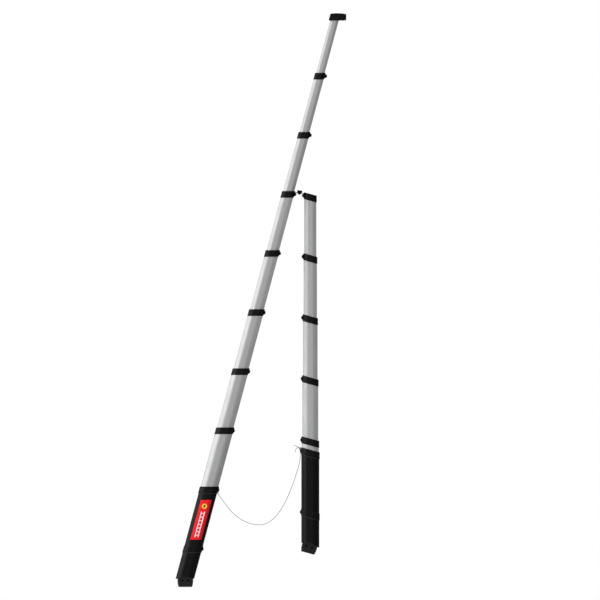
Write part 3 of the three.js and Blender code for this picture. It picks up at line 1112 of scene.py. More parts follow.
@dataclass(frozen=True)
class Collar(SubAssembly):
    """The moulded collar at one end of a rung: a ring round the tube, a nose and the rung's socket."""

    leg: Leg
    rung: int
    side: Side

    BORE = TUBE_CLEARANCE
    NOSE_HALF = 12.0

    @property
    def section(self) -> int:
        """The section whose tube it goes round."""
        return max(0, self.rung - 2)

    def profile(self) -> list[tuple[float, float]]:
        """The wall's outline, as (out from the tube, height)."""
        half, proud = COLLAR_HALF, COLLAR_PROUD
        wall = [(self.BORE, -half), (proud - 0.6, -half), (proud - 0.12, -half + 0.25), (proud, -half + 0.8)]
        if self.section == 0:
            wall += [(proud, -13.9), (proud - 0.9, -13.6), (proud - 0.9, -12.8), (proud, -12.5)]
        for middle in (-8.4, -4.2, 0.0, 4.2, 8.4):
            wall += [
                (proud, middle - 0.85), (proud - 0.28, middle - 0.35), (proud - 0.28, middle + 0.35),
                (proud, middle + 0.85),
            ]
        wall += [
            (proud, half - 2.4), (proud - 0.25, half - 1.1), (proud - 0.9, half - 0.3), (proud - 1.8, half)
        ]
        if self.rung == 1:
            return [*wall, (self.BORE, half)]
        lip = 0.35 - STILE.reach_in(self.section)
        return [
            *wall, (lip + 0.5, half), (lip, half - 0.5), (lip, TUBE_TOP + 0.9), (self.BORE, TUBE_TOP + 0.35)
        ]

    def nose(self) -> Solid:
        """The rounded lug on the side that faces the other ladder."""
        reach = 51.3 if self.section == 0 else 49.3 - 2.2 * (self.section - 1)
        tip = reach / math.cos(LEAN)
        face = (STILE.depth / 2 - STILE.inset(self.section) + 0.9) / math.cos(LEAN)
        low, high = face - 10.8 * math.tan(LEAN), face + 9.4 * math.tan(LEAN)
        outline = [
            (low, -10.8), (tip - 4.6, -8.6), (tip - 0.6, -4.4), (tip + 0.1, 1.6), (tip - 1.4, 7.4),
            (high, 9.4),
        ]
        return Solid().prism(smoothed(outline), -self.NOSE_HALF, self.NOSE_HALF, 1.8)

    def seal(self) -> Solid:
        """A dark ring under a collar of the base: painted shade for the shadow line where the proud collar
        meets the tube.
        """
        low = -COLLAR_HALF
        wall = [
            (self.BORE, low - 3.6), (0.5, low - 3.6), (1.0, low - 2.8), (1.0, low - 0.05),
            (self.BORE, low - 0.05),
        ]
        return Solid().sweep([STILE.ring(0, out, height) for out, height in wall], closed=True)

    def socket(self) -> Solid:
        """The block that takes the rung's end, with a rim round its mouth."""
        inner = STILE.width / 2 - STILE.inset(self.section) + COLLAR_PROUD
        outline = rectangle(-SOCKET_HALF, SOCKET_HALF, -15.0, 15.5, 3.2)
        narrow = drawn_in(outline, 1.1)
        rim = Solid().prism(outline, -inner - SOCKET_LENGTH, -inner - SOCKET_LENGTH + 5.5, 1.0)
        return rim.prism(narrow, -inner - SOCKET_LENGTH + 4.0, -inner + 1.2, 0.6)

    def pieces(self) -> Iterator[Piece]:
        """The collar."""
        rings = [STILE.ring(self.section, out, height) for out, height in self.profile()]
        shape = Solid().sweep(rings, closed=True).add(self.nose(), TO_LEG).add(self.socket(), TO_LEG)
        name = f"{self.leg.name}_collar_{self.rung}_{self.side.word}"
        placed = shape.moved(across(self.leg.sign(self.side), STILE.y))
        body = self.leg.body_of_rung(self.rung)
        node = f"{self.leg.name}_rung_{self.rung}"
        place = self.leg.at(self.leg.rungs[self.rung - 1])
        yield Piece(name, placed, place, body, PLASTIC, (node,))
        if self.section == 0:
            # Under a base collar, a thin dark ring of painted shade stands for the shadow line below the
            # collar.
            seal = self.seal().moved(across(self.leg.sign(self.side), STILE.y))
            yield Piece(f"{name}_seal", seal, place, body, RUBBER, (node,))


@dataclass(frozen=True)
class Tread(SubAssembly):
    """The extruded tread between two collars, ribbed on top, with the rivets that hold it."""

    leg: Leg
    rung: int

    TOP = 13.7
    LOW = -13.5
    RIB = 0.8

    @property
    def is_top(self) -> bool:
        """Whether it is the front ladder's uppermost rung, which runs between the wall caps."""
        return self.leg is FRONT and self.rung == len(FRONT.rungs)

    @property
    def half_length(self) -> float:
        """Half of the length that shows."""
        if self.is_top:
            return STILE.y - WallCap.HALF_WIDTH
        section = max(0, self.rung - 2)
        return STILE.y - (STILE.width / 2 - STILE.inset(section)) - COLLAR_PROUD - SOCKET_LENGTH

    def bar(self) -> Solid:
        """The extrusion, a deep channel that is open below."""
        low, top = self.LOW, self.TOP
        outline = [
            (16.0, low, 0.8), (21.0, low + 10, 3.0), (21.0, top, 2.4), (-21.0, top, 2.4),
            (-21.0, low + 10, 3.0),
            (-16.0, low, 0.8), (-13.4, low, 0.8), (-18.2, low + 10.4, 2.0), (-18.2, 11.0, 1.4),
            (18.2, 11.0, 1.4),
            (18.2, low + 10.4, 2.0), (13.4, low, 0.8),
        ]
        reach = self.half_length + (2.5 if self.is_top else 5.5)
        return Solid().prism(outline, -reach, reach, 0.4)

    def pieces(self) -> Iterator[Piece]:
        """The ribbed tread, and the rivets."""
        reach = self.half_length - 0.4
        rib_outline = [
            (-18.9, self.TOP - 0.2, 0), (-17.4, self.TOP - 0.2, 0), (-17.7, self.TOP + self.RIB, 0.2),
            (-18.6, self.TOP + self.RIB, 0.2),
        ]
        rib = Solid().prism(rib_outline, -reach, reach, 0.3)
        bar = self.bar()
        if self.rung == 2:
            bar = bar.cut(*(ReleaseButton.opening(sign) for sign in (1, -1)))
        shape = bar.add(in_rows(rib, 12, (3.3, 0, 0), TREAD_METAL))
        name, place = f"{self.leg.name}_tread_{self.rung}", self.leg.tread(self.rung)
        body = self.leg.body_of_rung(self.rung)
        node = (f"{self.leg.name}_rung_{self.rung}",)
        yield Piece(name, shape, place, body, TREAD_METAL, node)
        if self.is_top:
            return
        rivets = Solid()
        for facing in (1, -1):
            places = [
                (facing * (SOCKET_HALF - 1.1), sign * (self.half_length + 9.0), height)
                for sign in (1, -1) for height in (-6.5, 6.5)
            ]
            rivets.add_mesh(RIVETS.at(places, (facing, 0, 0), RIVET, 3.0, 1.1))
        yield Piece(f"{name}_rivets", rivets, place, body, RIVET, node)


# ---------------------------------------------------------------- release buttons


@dataclass(frozen=True)
class ReleaseButton(SubAssembly):
    """A red thumb slide on the front of a base's upper rung, in its black bezel."""

    leg: Leg
    side: Side

    FACE = -23.0
    MIDDLE = 145.5
    SLIDE = 150.0

    @classmethod
    def opening(cls, sign: int) -> Solid:
        """What is taken out of the tread's front wall for the bezel."""
        middle = sign * cls.MIDDLE
        return Solid().block((-24, middle - 19, -6.5), (-17, middle + 19, 10.0), 0, 0)

    def bezel(self) -> Solid:
        """A rounded frame with the pocket that the slide moves in."""
        frame_outline = rectangle(self.MIDDLE - 20.6, self.MIDDLE + 20.6, -9.0, 12.0, 2.5)
        body = Solid().prism(frame_outline, self.FACE, -18.4, 0.9, Axis.X)
        pocket_outline = rectangle(self.MIDDLE - 18, self.MIDDLE + 18, -4.5, 8.5, 1.0)
        pocket = Solid().prism(pocket_outline, self.FACE - 3, self.FACE + 3.4, 0, Axis.X)
        return body.cut(pocket)

    def slide(self) -> Solid:
        """The slide's body with its grip ribs."""
        outline = rectangle(self.SLIDE - 13, self.SLIDE + 13, -4.0, 8.0, 2.0)
        body = Solid().prism(outline, -26.2, -19.9, 0.9, Axis.X)
        grip = [(-26.9, -0.6, 0.3), (-25.8, -1.1, 0), (-25.8, 1.1, 0), (-26.9, 0.6, 0.3)]
        rib = Solid().prism(grip, -2.4, 6.4, 0.4, Axis.Z)
        first = Matrix.Translation((0, self.SLIDE - 8.75, 0))
        return body.add(in_rows(rib.moved(first), 6, (0, 3.5, 0), RED))

    def pieces(self) -> Iterator[Piece]:
        """The bezel and the slide."""
        side = across(self.leg.sign(self.side))
        place = self.leg.tread(2)
        bezel = f"{self.leg.name}_button_bezel_{self.side.word}"
        slide = f"{self.leg.name}_thumb_slide_{self.side.word}"
        button = f"{self.leg.name}_button_{self.side.word}"
        node = f"{self.leg.name}_release_button_{self.side.word}"
        yield Piece(
            bezel, self.bezel().moved(side), place, self.leg.body(0), PLASTIC, (f"{self.leg.name}_rung_2",)
        )
        yield Piece(slide, self.slide().moved(side), place, button, RED, (node,))


# ---------------------------------------------------------------- feet


@dataclass(frozen=True)
class Shoe(SubAssembly):
    """A rubber shoe under a base stile, with a screwed face plate that arches up over the tube."""

    leg: Leg
    side: Side

    OFFSET = 13.1
    OUTER = 41.0
    INNER = -31.0
    TREAD = 2.4
    SCREW_X = 14.2
    SCREW_Z = 31.5

    def arch(self, half: float, foot: float, spring: float, crown: float) -> list[Corner]:
        """A panel with an arched top.

        Args:
            half: half its width at the arch.
            foot: its lower edge.
            spring: where the arch starts.
            crown: the arch's top.
        """
        lower = half - 4.0
        points = [
            (self.OFFSET - lower, foot, 1.5), (self.OFFSET + lower, foot, 1.5),
            (self.OFFSET + half - 0.4, 20.0, 6.0),
        ]
        for step in range(17):
            angle = math.pi * step / 16
            points.append(
                (self.OFFSET + half * math.cos(angle), spring + (crown - spring) * math.sin(angle), 0.0)
            )
        return [*points, (self.OFFSET - half + 0.4, 20.0, 6.0)]

    def rubber(self) -> Solid:
        """The moulded body, the tongue on the tube and the sole's lugs."""
        o, t = self.OFFSET, self.TREAD
        profile = [
            (o - 33.6, t, 2.0), (o + 33.6, t, 2.0), (o + 36.9, 13, 8), (o + 38.35, 26, 10),
            (o + 38.35, SHOE_RISE, 2.5),
            (o - 38.35, SHOE_RISE, 2.5), (o - 38.35, 26, 10), (o - 36.9, 13, 8),
        ]
        body = Solid().prism(profile, self.INNER, self.OUTER - 1.5, 1.6)
        tongue = Solid().prism(self.arch(34.3, 30.0, SHOE_RISE, 51.2), 6.0, self.OUTER - 1.5, 1.2)
        clear = [STILE.ring(0, TUBE_CLEARANCE, height) for height in (SHOE_RISE / math.cos(LEAN), 200.0)]
        tongue = tongue.cut(Solid().sweep(clear).moved(TO_LEG.inverted()))
        lug = Solid().block(
            (o - 33.5, self.INNER + 0.6, 0.0), (o - 24.5, self.INNER + 10.2, t + 0.8), 0.7, 0.6
        )
        lugs = in_rows(lug, 6, (11.6, 0, 0), RUBBER, 5, (0, 12.16, 0))
        body.block((o - 33.5, 31.0, 0.0), (o + 33.5, self.OUTER - 1.6, t + 0.8), 0.7, 0.6)
        return body.cut(*self.wells()).add(tongue.cut(*self.wells())).add(lugs)

    def well(self, x: float) -> Solid:
        """What is taken out of the shoe for a screw."""
        return Solid().turned(
            [(5.4, self.OUTER - 8.0), (5.4, self.OUTER - 0.7), (5.9, self.OUTER)],
            (self.OFFSET + x, self.SCREW_Z), 28,
        )

    def wells(self) -> list[Solid]:
        """What is taken out for both screws."""
        return [self.well(-self.SCREW_X), self.well(self.SCREW_X)]

    def plug(self) -> Solid:
        """The stopper inside the tube."""
        rings = [
            STILE.ring(0, -1.75, (SHOE_RISE - 1) / math.cos(LEAN)),
            STILE.ring(0, -1.75, SHOE_RISE + 34.0, False),
        ]
        return Solid().sweep(rings)

    def pieces(self) -> Iterator[Piece]:
        """The rubber, the face plate and its screws."""
        side = across(self.leg.sign(self.side), STILE.y)
        place = self.leg.at() @ TO_LEG
        body = self.leg.body(0)
        name = f"{self.leg.name}_foot_{self.side.word}"
        rubber = self.rubber().add(self.plug(), TO_LEG.inverted())
        yield Piece(f"{name}_rubber", rubber.moved(side), place, body, RUBBER, (name,))
        plate = Solid().prism(
            self.arch(31.0, 3.4, SHOE_RISE - 1, 50.6), self.OUTER - 2.6, self.OUTER - 0.35, 0.7
        )
        plate = plate.cut(*self.wells())
        yield Piece(f"{name}_face_plate", plate.moved(side), place, body, FACE_PLATE, (name,))
        places = [(self.OFFSET + x, self.OUTER - 7.9, self.SCREW_Z) for x in (-self.SCREW_X, self.SCREW_X)]
        screws = Solid().add_mesh(SCREWS.at(places, (0, 1, 0), DARK_SCREW, 4.4, 1.2))
        yield Piece(f"{name}_screws", screws.moved(side), place, body, DARK_SCREW, (name,), 50.0)


# ---------------------------------------------------------------- wall caps


@dataclass(frozen=True)
class WallCap(SubAssembly):
    """The moulded cap that closes a front stile, with a toothed rubber pad to rest on a wall."""

    side: Side

    HALF_WIDTH = 19.5
    REAR = 53.6
    SPLIT = 46.6

    def cap(self) -> Solid:
        """The cap, with the tube's socket taken out of it and grip ribs on its front."""
        outline = [
            (-32.2, -17.0, 2.0), (self.SPLIT, -17.0, 1.2), (self.SPLIT, 16.6, 1.2), (22, 18.6, 30),
            (6, 19.2, 30),
            (-8, 18.6, 25), (-24.0, 16.6, 3.5), (-26.2, 9.0, 12),
        ]
        body = Solid().prism(outline, -self.HALF_WIDTH, self.HALF_WIDTH, 2.2)
        bore = [STILE.ring(FRONT_SECTIONS, TUBE_CLEARANCE, height) for height in (-80.0, 12.6)]
        body = body.cut(Solid().sweep(bore).moved(TO_LEG.inverted()))
        tooth = Solid().prism(
            [(-32.9, -15.6, 0.5), (-31.2, -16.0, 0), (-31.2, -13.8, 0), (-32.75, -14.2, 0.5)],
            -self.HALF_WIDTH + 2.5, self.HALF_WIDTH - 2.5, 0.5,
        )
        return body.add(in_rows(tooth, 8, (0.47, 0, 3.3), PLASTIC))

    def pad(self) -> Solid:
        """The rubber pad, its core in the cap and its teeth."""
        outline = rectangle(self.SPLIT + 0.5, self.REAR - 0.5, -17.0, 16.2, 0.9)
        body = Solid().prism(outline, -self.HALF_WIDTH, self.HALF_WIDTH, 2.0)
        body.block((self.SPLIT - 3, -13, -11), (self.SPLIT + 2, 13, 10), 1.5, 1.0)
        tooth = Solid().prism(
            [
                (self.REAR - 2, -15.3, 0), (self.REAR - 0.1, -14.6, 0.4), (self.REAR - 0.1, -13.6, 0.4),
                (self.REAR - 2, -12.9, 0),
            ],
            -self.HALF_WIDTH + 2.0, self.HALF_WIDTH - 2.0, 0.5,
        )
        return body.add(in_rows(tooth, 9, (0, 0, 3.4), PAD_RUBBER))

    def pieces(self) -> Iterator[Piece]:
        """The cap and the pad."""
        rung = len(FRONT.rungs)
        place, body = FRONT.tread(rung), FRONT.body_of_rung(rung)
        side = across(FRONT.sign(self.side), STILE.y)
        word, node = self.side.word, (f"front_rung_{rung}",)
        yield Piece(f"front_wall_cap_{word}", self.cap().moved(side), place, body, PLASTIC, node)
        yield Piece(f"front_wall_pad_{word}", self.pad().moved(side), place, body, PAD_RUBBER, node)


# ---------------------------------------------------------------- hinge


@dataclass(frozen=True)
class Hinge(SubAssembly):
    """Two steel leaves screwed to the two ladders, one axle, and the black covers on their barrels."""

    Y = 110.0
    STRAP_HALF = 18.0
    PIN = 4.0
    BORE = 4.25
    BARREL = 8.2
    TOP = 10.5
    BACK = 21.3
    OUTER = ((-18.0, -7.0), (7.0, 18.0))
    MIDDLE = ((-6.5, 6.5),)

    def bores(self) -> Solid:
        """What is drilled along the pivot at one strap."""
        return Solid().turned([(self.BORE, self.Y - 24), (self.BORE, self.Y + 24)], (0, 0), 40)

    def at_pivot(self, shape: Solid) -> Solid:
        """A shape drawn about the pivot, in its place in a tread's frame."""
        return shape.moved(Matrix.Translation((HINGE_X, 0, HINGE_Z)))

    def leaf(self, spans: Sequence[tuple[float, float]]) -> Solid:
        """A leaf: the plate on the rung's back, its straps and their barrels."""
        plate = rectangle(-131, 131, self.TOP - 20, self.TOP, 4.0)
        shape = Solid().prism(plate, self.BACK, self.BACK + 3, 0.7, Axis.X)
        for sign in (1, -1):
            half = Solid()
            low, high = self.Y - self.STRAP_HALF, self.Y + self.STRAP_HALF
            strap = rectangle(self.BACK + 1, 44.6, low, high, 2.5)
            half.prism(strap, self.TOP - 3, self.TOP, 0.7, Axis.Z)
            bead = [
                (self.BACK + 2, self.TOP - 9.5, 0), (self.BACK + 9, self.TOP - 2.5, 0),
                (self.BACK + 2, self.TOP - 2.5, 0),
            ]
            half.prism(bead, self.Y - 9, self.Y + 9, 0.0)
            barrels = Solid()
            for start, end in spans:
                a, b = self.Y + start, self.Y + end
                barrels.turned(
                    [
                        (self.BARREL - 0.6, a), (self.BARREL, a + 0.6), (self.BARREL, b - 0.6),
                        (self.BARREL - 0.6, b),
                    ],
                    (0, 0),
                )
            barrels = self.at_pivot(barrels.cut(self.bores()))
            for start, end in spans:
                half.block((43.0, self.Y + start, 6.0), (HINGE_X - 5.2, self.Y + end, 12.0), 0.6, 0.5)
            shape.add(half.add(barrels), across(sign))
        return shape

    def cover(self, spans: Sequence[tuple[float, float]], proud: float) -> Solid:
        """The moulded covers on one leaf's barrels.

        Args:
            spans: each barrel's reach along Y from the strap's middle.
            proud: how far the cover goes past each barrel's outer end.
        """
        outline = [
            (-0.4, -11.6, 3.5), (8.6, -6.2, 7.0), (11.0, 1.5, 4.0), (10.6, 4.5, 3.0), (13.2, 7.0, 2.6),
            (10.6, 10.2, 2.8),
            (4.2, 8.8, 2.4), (1.9, 10.7, 1.2), (-1.9, 10.7, 1.2), (-4.2, 8.8, 2.4), (-10.6, 10.2, 2.8),
            (-13.2, 7.0, 2.6),
            (-10.6, 4.5, 3.0), (-11.0, 1.5, 4.0), (-8.6, -6.2, 7.0),
        ]
        shape = Solid()
        for sign in (1, -1):
            covers = Solid()
            for start, end in spans:
                covers.prism(outline, self.Y + start - proud, self.Y + end + proud, 0.8)
            shape.add(self.at_pivot(covers.cut(self.bores())), across(sign))
        return shape

    def axle(self) -> Solid:
        """The pivot rod."""
        end = self.Y + self.STRAP_HALF + 2
        return self.at_pivot(Solid().turned([(self.PIN, -end), (self.PIN, end)], (0, 0)))

    def caps(self) -> Solid:
        """The domed cap at each end of the rod."""
        shape, start = Solid(), self.Y + self.STRAP_HALF + 2
        profile = [(7.0, 0.02), (7.5, 0.5), (7.2, 1.4), (5.6, 2.4), (3.0, 2.95), (0.6, 3.0)]
        for sign in (1, -1):
            cap = Solid().turned([(radius, start + rise) for radius, rise in profile], (0, 0))
            shape.add(cap, across(sign))
        return self.at_pivot(shape)

    def screws(self) -> Solid:
        """The screws that hold a leaf's plate."""
        places = [
            (self.BACK + 3.0, y, z)
            for y in (-122.0, -84.0, -42.0, 0.0, 42.0, 84.0, 122.0) for z in (4.5, -4.5)
        ]
        return Solid().add_mesh(SCREWS.at(places, (1, 0, 0), DARK_SCREW, 3.1, 1.1))

    def pieces(self) -> Iterator[Piece]:
        """The leaves, the covers, the screws and the axle."""
        for leg, spans, proud in ((FRONT, self.OUTER, 0.2), (REAR, self.MIDDLE, 0.15)):
            rung = HINGE_SECTION + 2
            place, body, node = leg.tread(rung), leg.body_of_rung(rung), (f"hinge_{leg.name}_leaf",)
            yield Piece(f"hinge_{leg.name}_plate", self.leaf(spans), place, body, ZINC, node)
            yield Piece(f"hinge_{leg.name}_cover", self.cover(spans, proud), place, body, PLASTIC, node)
            yield Piece(f"hinge_{leg.name}_screws", self.screws(), place, body, DARK_SCREW, node, 50.0)
        place, body = FRONT.tread(HINGE_SECTION + 2), FRONT.body(HINGE_SECTION)
        yield Piece("hinge_axle_rod", self.axle(), place, body, ZINC, ("hinge_axle",))
        yield Piece("hinge_axle_caps", self.caps(), place, body, PLASTIC, ("hinge_axle",))


# ---------------------------------------------------------------- label


@dataclass(frozen=True)
class Label(SubAssembly):
    """A red vinyl label wrapped round the front base's right stile, with a plain ladder sign and an arrow."""

    LOW = 240.2
    HIGH = 442.1
    EDGES = (-24.0, 28.5)
    THICK = 0.22
    PRINT = 0.16
    DISC = (0.6, 410.0, 12.6)
    RAIL = 1.8
    RUNG = 1.6

    def film(self) -> Solid:
        """The label, which follows the flat and part of the two bevels."""
        x0, x1 = self.EDGES
        rows = []
        for out in (0.02, self.THICK):
            flat = STILE.outline(0, out)
            upper = flat[flat[:, 1] > 0]
            upper = upper[np.argsort(upper[:, 0])]
            xs = np.unique(
                np.concatenate([np.linspace(x0, x1, 43), upper[(upper[:, 0] > x0) & (upper[:, 0] < x1), 0]])
            )
            rows.append(np.column_stack([xs, np.interp(xs, upper[:, 0], upper[:, 1])]))
        count = min(len(row) for row in rows)
        places = np.linspace(0, 1, count)
        sides = [
            np.column_stack(
                [np.interp(places, np.linspace(0, 1, len(row)), row[:, k]) for k in (0, 1)]
            ) for row in rows
        ]
        loop = np.vstack([sides[1], sides[0][::-1]])
        slant = loop[:, 0] * math.tan(LEAN)
        return Solid().sweep([np.column_stack([loop, height + slant]) for height in (self.LOW, self.HIGH)])

    def printed(self, corners: Sequence[Corner], layer: int = 1) -> Solid:
        """A printed shape on the outer flat, slanted with the treads.

        Args:
            corners: its outline, (x, z, radius).
            layer: how many prints lie under it, itself included.
        """
        face = STILE.width / 2 + self.THICK + self.PRINT * (layer - 1) - 0.02
        return Solid().prism(corners, face, face + self.PRINT, 0)

    def ladder_sign(self) -> Solid:
        """Two rails and their rungs."""
        tan = math.tan(LEAN)
        shape = Solid()
        for x in (-6.4, 9.0):
            low, high = 253 + x * tan, 383 + x * tan
            shape.add(self.printed(rectangle(x - self.RAIL, x + self.RAIL, low, high, 0.9)))
        for k in range(7):
            z = 263 + 18.3 * k
            ends = ((-5.0, -self.RUNG), (7.6, -self.RUNG), (7.6, self.RUNG), (-5.0, self.RUNG))
            shape.add(self.printed([(x, z + up + x * tan, 0) for x, up in ends]))
        return shape

    def disc(self) -> Solid:
        """The disc behind the arrow."""
        x, z, radius = self.DISC
        circle = [
            (x + radius * math.cos(a), z + radius * math.sin(a), 0.0)
            for a in np.linspace(0, 2 * math.pi, 48, endpoint=False)
        ]
        return self.printed(circle)

    def arrow(self) -> Solid:
        """An arrow that points up the ladder."""
        x, z, radius = self.DISC
        points = [
            (-0.2, -0.68), (0.2, -0.68), (0.2, 0.02), (0.56, 0.02), (0, 0.72), (-0.56, 0.02), (-0.2, 0.02)
        ]
        return self.printed([(x + radius * a, z + radius * b, 0.0) for a, b in points], 2)

    def pieces(self) -> Iterator[Piece]:
        """The film and its prints."""
        side = across(FRONT.sign(Side.RIGHT), STILE.y)
        shapes = {
            "film": (self.film(), LABEL_RED), "ladder_sign": (self.ladder_sign(), LABEL_WHITE),
            "disc": (self.disc(), LABEL_YELLOW), "arrow": (self.arrow(), LABEL_BLACK),
        }
        for word, (shape, finish) in shapes.items():
            yield Piece(
                f"front_label_{word}", shape.moved(side), FRONT.at(), FRONT.body(0), finish,
                ("front_base_stile_right",),
            )


# ---------------------------------------------------------------- restraint cords

CORD_LINE = (
    (-212.6, 457), (-203, 446), (-184, 420), (-164, 393), (-145, 370), (-125, 352), (-105, 337), (-86, 325),
    (-66, 316), (-46, 310), (-27, 306.5), (-7, 305), (12, 307), (32, 314.5), (52, 327.5), (71, 345),
    (91, 370),
    (110, 400), (130, 440), (146, 478), (162, 521), (176, 564), (185, 594), (190.5, 622), (192.9, 640),
    (193.5, 651),
)


def spline(points: Sequence[Sequence[float]], step: float) -> np.ndarray:
    """A smooth line through points, with places about a step apart."""
    knots = np.array(points, float)
    padded = np.vstack([2 * knots[0] - knots[1], knots, 2 * knots[-1] - knots[-2]])
    fine = []
    for a, b, c, d in zip(padded, padded[1:], padded[2:], padded[3:]):
        for t in np.linspace(0, 1, 24, endpoint=False):
            square, cube = 2 * a - 5 * b + 4 * c - d, 3 * b - a - 3 * c + d
            fine.append(0.5 * (2 * b + (c - a) * t + square * t**2 + cube * t**3))
    fine = np.vstack([fine, knots[-1]])
    travelled = np.concatenate([[0], np.cumsum(np.linalg.norm(np.diff(fine, axis=0), axis=1))])
    at = np.linspace(0, travelled[-1], max(4, round(travelled[-1] / step) + 1))
    return np.column_stack([np.interp(at, travelled, fine[:, k]) for k in range(3)])


@dataclass(frozen=True)
class Strands:
    """A rope laid from three strands.

    Args:
        diameter: the rope's diameter, in millimetres.
        lay: how far a strand goes along the rope in one turn.
        sides: how many sides a strand has.
        step: the distance between its rings.
    """

    diameter: float = 3.0
    lay: float = 11.0
    sides: int = 8
    step: float = 1.5

    def along(self, line: np.ndarray) -> Solid:
        """The rope along a line of places."""
        tangents = np.gradient(line, axis=0)
        tangents /= np.linalg.norm(tangents, axis=1)[:, None]
        normals = [np.cross(tangents[0], (0.13, 0.97, 0.2))]
        for tangent in tangents:
            normal = normals[-1] - tangent * float(normals[-1] @ tangent)
            normals.append(normal / np.linalg.norm(normal))
        normals = np.array(normals[1:])
        sideways = np.cross(tangents, normals)
        travelled = np.concatenate([[0], np.cumsum(np.linalg.norm(np.diff(line, axis=0), axis=1))])
        thick = self.diameter / 2 * 0.5
        offset = self.diameter / 2 - thick
        shape = Solid()
        for strand in range(3):
            rings = []
            for k, place in enumerate(line):
                turn = 2 * math.pi * (travelled[k] / self.lay + strand / 3)
                centre = place + offset * (math.cos(turn) * normals[k] + math.sin(turn) * sideways[k])
                angles = turn + np.linspace(0, 2 * math.pi, self.sides, endpoint=False)
                spokes = np.cos(angles)[:, None] * normals[k] + np.sin(angles)[:, None] * sideways[k]
                rings.append(centre + thick * 1.08 * spokes)
            shape.sweep(rings, along=list(travelled))
        return shape


@dataclass(frozen=True)
class RestraintCord(SubAssembly):
    """The cord that keeps the two ladders from spreading, on one side, and how it is tied."""

    side: Side

    KNOT = (190.4, 680.5)
    EYE = (-212.6, 458.5)

    @property
    def y(self) -> float:
        """The plane that it hangs in."""
        return self.side.value * STILE.y

    def line(self) -> np.ndarray:
        """Its centreline, in millimetres in the row's frame."""
        return spline([(x, self.y, z) for x, z in CORD_LINE], Strands.step)

    def knot(self) -> Solid:
        """An overhand knot, drawn tight."""
        turns = np.linspace(0, 2 * math.pi, 90)
        loop = np.column_stack([
            np.sin(turns) + 2 * np.sin(2 * turns), 0.9 * -np.sin(3 * turns),
            np.cos(turns) - 2 * np.cos(2 * turns),
        ])
        centre = np.array([self.KNOT[0], self.y, self.KNOT[1]])
        return Strands(2.9, 9.0, 8, 1.0).along(centre + loop * (1.62, 2.2, 1.55))

    def tails(self) -> Solid:
        """The two ends that hang from the knot."""
        x, z = self.KNOT
        rope = Strands(2.7, 9.0, 7, 1.2)
        upper = [
            (x - 1, self.y, z), (x - 7, self.y - 1.5, z + 6.5), (x - 13, self.y - 2.5, z + 7.0),
            (x - 18.5, self.y - 3, z + 12.0),
            (x - 24, self.y - 2.5, z + 12.6), (x - 30, self.y - 2, z + 13.8),
        ]
        lower = [
            (x - 1, self.y, z), (x - 9, self.y + 2, z + 2.8), (x - 16.5, self.y + 3.5, z - 0.6),
            (x - 20.8, self.y + 4, z - 8.5),
            (x - 22.4, self.y + 4, z - 19.0),
        ]
        return rope.along(spline(upper, 1.2)).add(rope.along(spline(lower, 1.2)))

    def lead(self) -> Solid:
        """The length that goes up through the rear collar's nose to the knot."""
        x, z = CORD_LINE[-1]
        knots = [
            (x + 0.1, self.y, z + 1.6), (x - 0.5, self.y, z + 10), (x - 2.2, self.y, z + 20),
            (self.KNOT[0], self.y, self.KNOT[1]),
        ]
        return Strands().along(spline(knots, Strands.step))

    def eye(self) -> Solid:
        """The steel eye under the front collar's nose, with its shank."""
        x, z = self.EYE
        turns = np.linspace(0, 2 * math.pi, 33)[:-1]
        around = np.linspace(0, 2 * math.pi, 13)[:-1]
        rings = []
        for turn in turns:
            out = np.array([math.cos(turn), 0.0, math.sin(turn)])
            rings.append([
                np.array(
                    [x + 2.6, self.y, z + 2.4]
                ) + out * (3.6 + 0.9 * math.cos(a)) + np.array([0, 0.9 * math.sin(a), 0])
                for a in around
            ])
        ring = Solid().sweep([np.array(r) for r in rings], closed=True)
        return ring.turned([(1.5, z + 5.6), (1.5, z + 14.0)], (x + 2.6, self.y), 16, Axis.Z)

    def build(self) -> list[bpy.types.Object]:
        word, node = self.side.word, f"restraint_cord_{self.side.word}"
        place = Matrix.Scale(MM, 4)
        line = self.line()
        rope = Piece(
            f"{node}_rope", Strands().along(line), place, "front_base", CORD_YARN, (node,), 60.0
        ).build()
        tied = [
            Piece(f"{node}_lead", self.lead(), place, "rear_base", CORD_YARN, (), 60.0).build(),
            Piece(f"{node}_knot", self.knot(), place, "rear_base", CORD_YARN, (), 60.0).build(),
            Piece(f"{node}_tails", self.tails(), place, "rear_base", CORD_YARN, (), 60.0).build(),
        ]
        eye = Piece(f"cord_eye_{word}", self.eye(), place, "front_base", ZINC, (), 60.0).build()
        return [rope, *tied, eye]


# ---------------------------------------------------------------- studio


